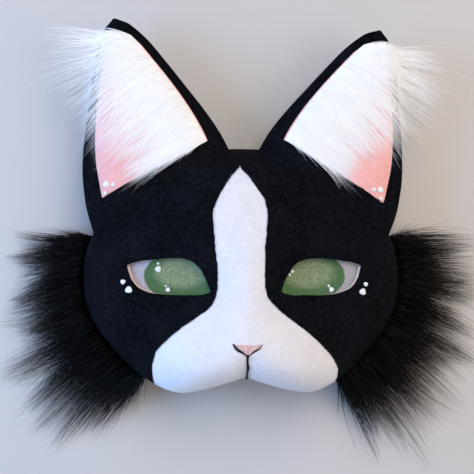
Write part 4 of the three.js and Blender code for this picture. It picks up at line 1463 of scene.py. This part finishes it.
def grow(root, heading, bend, length, start, end, arch):
    """Paths of strands: level headings in radians, and heights along the way."""
    t = np.linspace(0, 1, STATIONS)
    turn = heading[:, None] + bend[:, None] * t
    step = (length / (STATIONS - 1))[:, None]
    x = np.concatenate([np.zeros((len(root), 1)), np.cumsum(np.cos(turn[:, :-1]) * step, 1)], 1)
    y = np.concatenate([np.zeros((len(root), 1)), np.cumsum(np.sin(turn[:, :-1]) * step, 1)], 1)
    z = start[:, None] * (1 - t) + end[:, None] * t + arch[:, None] * 4 * t * (1 - t) ** 1.3
    return np.stack([x + root[:, 0:1], y + root[:, 1:2], z], -1)


def gather(paths, locks, lock_of, pull, spread):
    """Bend each strand towards the middle of its lock."""
    t = np.linspace(0, 1, STATIONS)[None, :, None]
    share = pull[:, None, None] * t**1.2
    loose = rng.normal(0, 1, (len(paths), 1, 3)) * spread * np.array([1, 1, 0.5])
    return paths * (1 - share) + (locks[lock_of] + loose * (0.4 + 0.6 * t)) * share


def ribbons(name, paths, width, tone):
    """Tapered ribbons along the paths, turned a little at random about them."""
    t = np.linspace(0, 1, STATIONS)
    profile = np.interp(t, [0, 0.25, 0.6, 0.85, 1], [0.9, 1.0, 0.6, 0.3, 0.04])
    along = np.gradient(paths, axis=1)
    along /= np.linalg.norm(along, axis=2)[:, :, None] + 1e-9
    level = np.cross(along, [0, 0, 1])
    level /= np.linalg.norm(level, axis=2)[:, :, None] + 1e-9
    upright = np.cross(level, along)
    roll = rng.uniform(-0.9, 0.9, len(paths))[:, None, None]
    side = (level * np.cos(roll) + upright * np.sin(roll)) * (width[:, None] * profile)[:, :, None] / 2
    points = np.stack([paths - side, paths + side], 2).reshape(-1, 3)
    base = (np.arange(len(paths)) * STATIONS * 2)[:, None] + (np.arange(STATIONS - 1) * 2)[None, :]
    faces = np.stack([base, base + 1, base + 3, base + 2], -1).reshape(-1, 4)
    made = mesh_object(name, points, faces)
    marks = {"along": np.tile(np.repeat(t, 2), len(paths)), "tone": np.repeat(tone, STATIONS * 2)}
    for label, values in marks.items():
        attribute = made.data.attributes.new(label, "FLOAT", "POINT")
        attribute.data.foreach_set("value", values.astype(np.float32))
    return made


print(STATIONS, "points along each strand")

# %% [markdown]
# Fuzz on the cut edge
# Scissors leave loose fibres standing out of white felt, and they show against the black. They are
# very short strands rooted just inside the cut, leaning outwards in every direction.

# %% Fibres along the white felt's edge
FUZZ_PER_SIDE = 2600
FUZZ_LENGTH = 1.3


def edge_fibres(edge, outward_sign):
    """Short paths leaning out over an edge that is given in the face's plane."""
    place = rng.uniform(0, len(edge) - 1.001, FUZZ_PER_SIDE)
    first = place.astype(int)
    spot = edge[first] + (edge[first + 1] - edge[first]) * (place - first)[:, None]
    along = edge[first + 1] - edge[first]
    along /= np.linalg.norm(along, axis=1)[:, None]
    outward = outward_sign * np.stack([-along[:, 1], along[:, 0]], -1)
    lean = rng.uniform(-1.2, 1.2, FUZZ_PER_SIDE)[:, None]
    direction = outward * np.cos(lean) + along * np.sin(lean)
    base, normal = face_surface(spot - outward * 0.008)
    ahead = face_surface(spot + direction * 0.01)[0] - face_surface(spot)[0]
    ahead /= np.linalg.norm(ahead, axis=1)[:, None]
    t = np.linspace(0, 1, STATIONS)[None, :, None]
    length = (FUZZ_LENGTH * rng.uniform(0.3, 1.0, FUZZ_PER_SIDE))[:, None, None]
    lift = FELT_OUT - 0.1 + 0.35 * np.sin(t * 2.4)
    return base[:, None] + ahead[:, None] * length * t + normal[:, None] * lift


fibres = np.concatenate([edge_fibres(blaze_right[4:], 1), edge_fibres(blaze_left[4:], -1)])
fuzz = ribbons("felt_fuzz", fibres, rng.uniform(0.07, 0.14, len(fibres)), np.zeros(len(fibres)))
finish_piece(fuzz, white_felt_finish, "white_felt")

# %% [markdown]
# Cheek fur
# Long black fur is glued round the cheeks from the temples to the muzzle. It stands almost level
# at the temple and turns down towards the chin. Its tips are thinner and browner, because light
# comes through them.

# %% Black cheek fur
CHEEK_FUR_LENGTH = 58.0
CHEEK_FUR_HEIGHT = 9.0
CHEEK_STRANDS = 11500
CHEEK_LOCKS = 84
# Directions in degrees from the crown, where the fur begins and ends and where it gets thinner.
CHEEK_ARC = (73, 143)
LOW_ARC = (104, 128)
# The share of the long strands that is left out, by side, and low down by the muzzle on both.
CHEEK_THINNING = {"left": 0.4, "right": 0.68}
LOW_THINNING = 0.6
# By direction round the rim, the headings in degrees below straight out and the lengths as shares.
# The two sides differ because the fur is combed by hand.
CHEEK_COLUMNS = ("direction", "left_heading", "left_length", "right_heading", "right_length")
CHEEK_TABLE = named_table(CHEEK_COLUMNS, [
    (70, -3, 0.72, -7, 0.85),
    (81, 3, 0.74, 1, 0.92),
    (90, 9, 0.74, 8, 0.94),
    (99, 15, 0.78, 16, 0.96),
    (108, 22, 0.88, 24, 1.0),
    (117, 29, 0.98, 32, 1.05),
    (126, 36, 1.08, 41, 1.12),
    (134, 42, 1.12, 51, 1.14),
    (143, 50, 1.0, 62, 1.05),
])


def wall_point(angle, height, offset):
    """A place on the face's side, a height over the floor and a distance outside the shell."""
    _, _, waist, rim = rim_at(angle)
    ring = np.clip(1 + (waist - height) / np.maximum(waist - rim, 1e-6), 0.9, 2)
    spot, normal = face_surface(polar(ring, angle))
    return spot + normal * offset


def cheek_strands(name, side, count, length_share, jitter):
    """Directions round the rim, heights in the trim and paths of strands on one cheek."""
    angle = rng.uniform(*CHEEK_ARC, count)
    height = rng.uniform(0.05, 1.25, count)
    rim = rim_at(angle)[3]
    root = wall_point(side * angle, rim + height * CHEEK_FUR_HEIGHT, TRIM_IN - 0.2)
    combed = read_table(CHEEK_TABLE, name + "_heading", angle)
    below = np.radians(combed + rng.normal(0, jitter, count))
    heading = -below if side > 0 else math.pi + below
    side_length = read_table(CHEEK_TABLE, name + "_length", angle)
    length = CHEEK_FUR_LENGTH * side_length * length_share * rng.normal(1, 0.06, count)
    start = root[:, 2]
    end = np.maximum(0.6, start * 0.25 + rng.uniform(0, 5, count))
    arch = CHEEK_FUR_HEIGHT * (0.05 + 0.45 * height) * rng.uniform(0.7, 1.2, count)
    bend = -side * rng.normal(0.1, 0.12, count)
    return angle, height, grow(root, heading, bend, length, start, end, arch)


for side, name in ((-1, "left"), (1, "right")):
    lock_length = rng.uniform(0.6, 1.15, CHEEK_LOCKS)
    lock_angle, lock_height, locks = cheek_strands(name, side, CHEEK_LOCKS, lock_length, 7.0)
    reaching = 0.33 + 0.86 * rng.uniform(0, 1, CHEEK_STRANDS) ** 2.4
    angle, height, paths = cheek_strands(name, side, CHEEK_STRANDS, reaching, 9.0)
    apart = np.abs(angle[:, None] - lock_angle) / 3.0 + np.abs(height[:, None] - lock_height) * 1.2
    lock_of = np.argmin(apart + rng.uniform(0, 0.5, apart.shape), axis=1)
    pull = rng.uniform(0.5, 1.0, CHEEK_STRANDS) * smoothstep(reaching, 0.4, 0.7)
    paths = gather(paths, locks, lock_of, pull, 0.6)
    paths[:, :, 2] = np.maximum(paths[:, :, 2], 0.3)
    width = rng.uniform(0.16, 0.34, CHEEK_STRANDS) * (1.1 - 0.35 * smoothstep(reaching, 0.6, 1.1))
    tone = rng.normal(0, 0.8, CHEEK_STRANDS) + rng.normal(0, 0.8, CHEEK_LOCKS)[lock_of]
    tone = tone.clip(-1.6, 2.5)
    low_down = smoothstep(angle, *LOW_ARC)
    thinning = CHEEK_THINNING[name] + (LOW_THINNING - CHEEK_THINNING[name]) * low_down
    thinned = thinning * smoothstep(reaching, 0.4, 0.62)
    kept = rng.uniform(0, 1, CHEEK_STRANDS) > thinned
    fur = ribbons("cheek_strands_" + name, paths[kept], width[kept], tone[kept])
    finish_piece(fur, black_fur_finish, "black_fur", "cheek_fur_" + name)

# %% [markdown]
# Ear fur
# Long white fur is sewn along the inner edge of each lining. It sweeps outwards across the pink,
# nearly level at the tip and falling lower down, and its ends hang over the ear's outer edge.
# It thins towards the lower outer corner, where the pink shows through.

# %% White ear fur
EAR_FUR_LENGTH = 60.0
EAR_STRANDS = 8200
EAR_LOCKS = 110
EAR_THINNING = 0.35
EAR_DROOPING = 0.05
EAR_LONG_SHARE = {"left": 0.035, "right": 0.1}
FUR_OVER_LINING = 0.9
FUR_OVER_HEAD = 1.2
# By place along the ear, the heading in degrees towards the tip from straight out and the lengths
# as shares.
EAR_FUR_TABLE = named_table(("along", "heading", "left_length", "right_length"), [
    (0.1, -8, 0.7, 0.62),
    (0.2, -10, 0.76, 0.64),
    (0.31, -17, 0.74, 0.62),
    (0.42, -23, 0.78, 0.66),
    (0.53, -25, 0.84, 0.74),
    (0.63, -23, 0.87, 0.84),
    (0.72, -14, 0.88, 0.88),
    (0.8, 3, 0.88, 0.88),
    (0.87, 24, 0.72, 0.72),
])


def ear_strands(name, side, count, length_share, jitter):
    """Places along the ear and in from its edge, and paths of strands in its own plane."""
    along = 0.06 + 0.81 * rng.uniform(0, 1, count) ** 0.9
    inward = rng.uniform(0, 1, count) ** 1.7
    y = along * EAR_LENGTH
    half = lining_half(y)
    x = -half + 1.2 + inward * half * (0.2 + 1.0 * along**1.3)
    y = np.maximum(y, lining_foot(x) + 0.3 + 4.5 * rng.uniform(0, 1, count) ** 2)
    x = np.maximum(x, 1.2 - lining_half(y))
    root = np.stack([side * x, y], -1)
    combed = read_table(EAR_FUR_TABLE, "heading", y / EAR_LENGTH)
    turn = np.radians(combed + rng.normal(0, jitter, count))
    turn -= (rng.uniform(0, 1, count) < EAR_DROOPING) * rng.uniform(0, 0.22, count)
    heading = turn if side > 0 else math.pi - turn
    side_length = read_table(EAR_FUR_TABLE, name + "_length", y / EAR_LENGTH)
    length = EAR_FUR_LENGTH * side_length * length_share * (1 - 0.22 * inward)
    start = np.full(count, 0.2)
    end = rng.uniform(1.5, 6.0, count)
    arch = rng.uniform(0.8, 4.0, count)
    bend = side * rng.normal(-0.12, 0.12, count)
    return along, inward, grow(root, heading, bend, length, start, end, arch)


for name, side, _, _ in EAR_PAIR:
    lock_along, lock_inward, locks = ear_strands(name, side, EAR_LOCKS, 1.0, 3.0)
    reaching = 0.28 + 0.96 * rng.uniform(0, 1, EAR_STRANDS) ** 3.4
    is_long = rng.uniform(0, 1, EAR_STRANDS) < EAR_LONG_SHARE[name]
    reaching = np.where(is_long, rng.uniform(1.0, 1.5, EAR_STRANDS), reaching)
    along, inward, paths = ear_strands(name, side, EAR_STRANDS, reaching, 5.0)
    apart = np.abs(along[:, None] - lock_along) / 0.05 + np.abs(inward[:, None] - lock_inward) * 1.5
    lock_of = np.argmin(apart + rng.uniform(0, 0.6, apart.shape), axis=1)
    pull = rng.uniform(0.2, 0.9, EAR_STRANDS) * smoothstep(reaching, 0.5, 0.9)
    paths = gather(paths, locks, lock_of, pull, 1.6)
    x, y, z = np.moveaxis(paths, 2, 0)
    over = np.abs(x) / np.maximum(ear_half(y), EAR_NARROWEST)
    curl = ear_front(x, y) * (1 - smoothstep(over, 0.9, 1.4) * 0.4)
    paths[:, :, 2] = np.maximum(z * 0.6 + curl * 0.85, curl) + FUR_OVER_LINING
    paths = ear_moves[name](paths.reshape(-1, 3)).reshape(paths.shape)
    x, y, z = np.moveaxis(paths, 2, 0)
    on_head = face_share(x, y)[0] < ON_HEAD
    felt_height = face_height(x, y) + FELT_OUT + FUR_OVER_HEAD
    paths[:, :, 2] = np.where(on_head, np.maximum(z, felt_height), z)
    width = rng.uniform(0.12, 0.26, EAR_STRANDS)
    thinned = EAR_THINNING * smoothstep(reaching, 0.5, 0.8)
    kept = (rng.uniform(0, 1, EAR_STRANDS) > thinned) | (is_long & (along < 0.6))
    tone = rng.normal(0, 1, EAR_STRANDS).clip(-2, 1)
    fur = ribbons("ear_strands_" + name, paths[kept], width[kept], tone[kept])
    finish_piece(fur, white_fur_finish, "white_fur", "ear_fur_" + name)

# %% [markdown]
# Elastic strap
# A woven elastic is glued inside both temples and lies slack inside the crown. It is a flat band
# with fine ribs along its length, and its finish adds the weave across them.

# %% Strap
STRAP_WIDTH = 18.0
STRAP_WALL = 1.4
STRAP_CLEARANCE = 1.2
# Directions in degrees from the crown, where the strap ends and where it comes off the shell.
STRAP_END = 97.0
STRAP_FREE = 84.0
STRAP_SLACK = 0.2
STRAP_RIBS = 9
STRAP_RIB_HEIGHT = 0.12


def make_weave_group():
    group, given, place = start_group("elastic weave", {"Yarn Colour": (0.02, 0.02, 0.022, 1)})
    wires = {"Vector": place, "Scale": 900, "Distortion": 2.0, "Detail": 2}
    picks = add_node(group, "ShaderNodeTexWave", wires).outputs["Fac"]
    darker = scale_colour(group, given["Yarn Colour"], 0.5)
    return finish_group(group, blend_colours(group, picks, darker, given["Yarn Colour"]), picks)


strap_finish, strap_shader = start_material("woven elastic", 0.85, Sheen_Weight=0.2)
wire_colour_and_bump(strap_finish, strap_shader, use_group(strap_finish, make_weave_group()), 0.1)


def strap_shape():
    """A flat tube of two ribbed sides that follows the inside of the shell."""
    angle = np.linspace(-STRAP_END, STRAP_END, 150)
    across = np.linspace(0, 1, 37)
    height = STRAP_CLEARANCE + STRAP_WIDTH * across
    reach, fullness, waist, _ = rim_at(angle)
    free = np.clip((STRAP_FREE - np.abs(angle)) / STRAP_FREE, 0, 1)
    slack = 1 - STRAP_SLACK * np.sin(free * math.pi / 2) ** 2
    rib = STRAP_RIB_HEIGHT * np.cos(across * STRAP_RIBS * 2 * math.pi)
    above = np.maximum(0, height[None, :] - waist[:, None]) / (FACE_DEPTH - waist)[:, None]
    skirt = np.clip((waist[:, None] - height) / waist[:, None], 0, 1)
    s = (1 - above**DOME_ROUNDNESS) ** (1 / fullness)[:, None] - RIM_TUCK * skirt**2
    turn = np.radians(angle)[:, None]
    x = s * reach[:, None] * np.sin(turn) * FACE_HALF_WIDTH
    y = s * reach[:, None] * np.cos(turn) * FACE_HALF_HEIGHT
    z = np.broadcast_to(height, x.shape)
    radius = np.hypot(x, y)
    middle = SHELL_WALL + GAP + STRAP_WALL / 2 + 0.25
    sides = []
    for sign in (1, -1):
        inset = middle - sign * ((STRAP_WALL - 0.3) / 2 + rib)
        pull = (radius - inset) / radius * slack[:, None]
        sides.append(np.stack([x * pull, y * pull, z], -1) + FACE_CENTRE)
    points = np.concatenate([sides[0], sides[1][:, ::-1]], axis=1)
    faces = np.roll(tube_faces(*points.shape[:2])[:, ::-1], 1, axis=1)
    return points.reshape(-1, 3), faces


strap = mesh_object("elastic_band", *strap_shape())
finish_piece(strap, strap_finish, "elastic", "elastic_strap")

# %% [markdown]
# Last measures
# The helper that trimmed the ears is taken away, and the number of triangles in all is printed.

# %% Remove the helper and count the triangles
bpy.data.objects.remove(head_bulk)
total = sum(len(p.data.loops) - 2 * len(p.data.polygons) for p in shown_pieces() if p.type == "MESH")
print(total, "triangles in all")
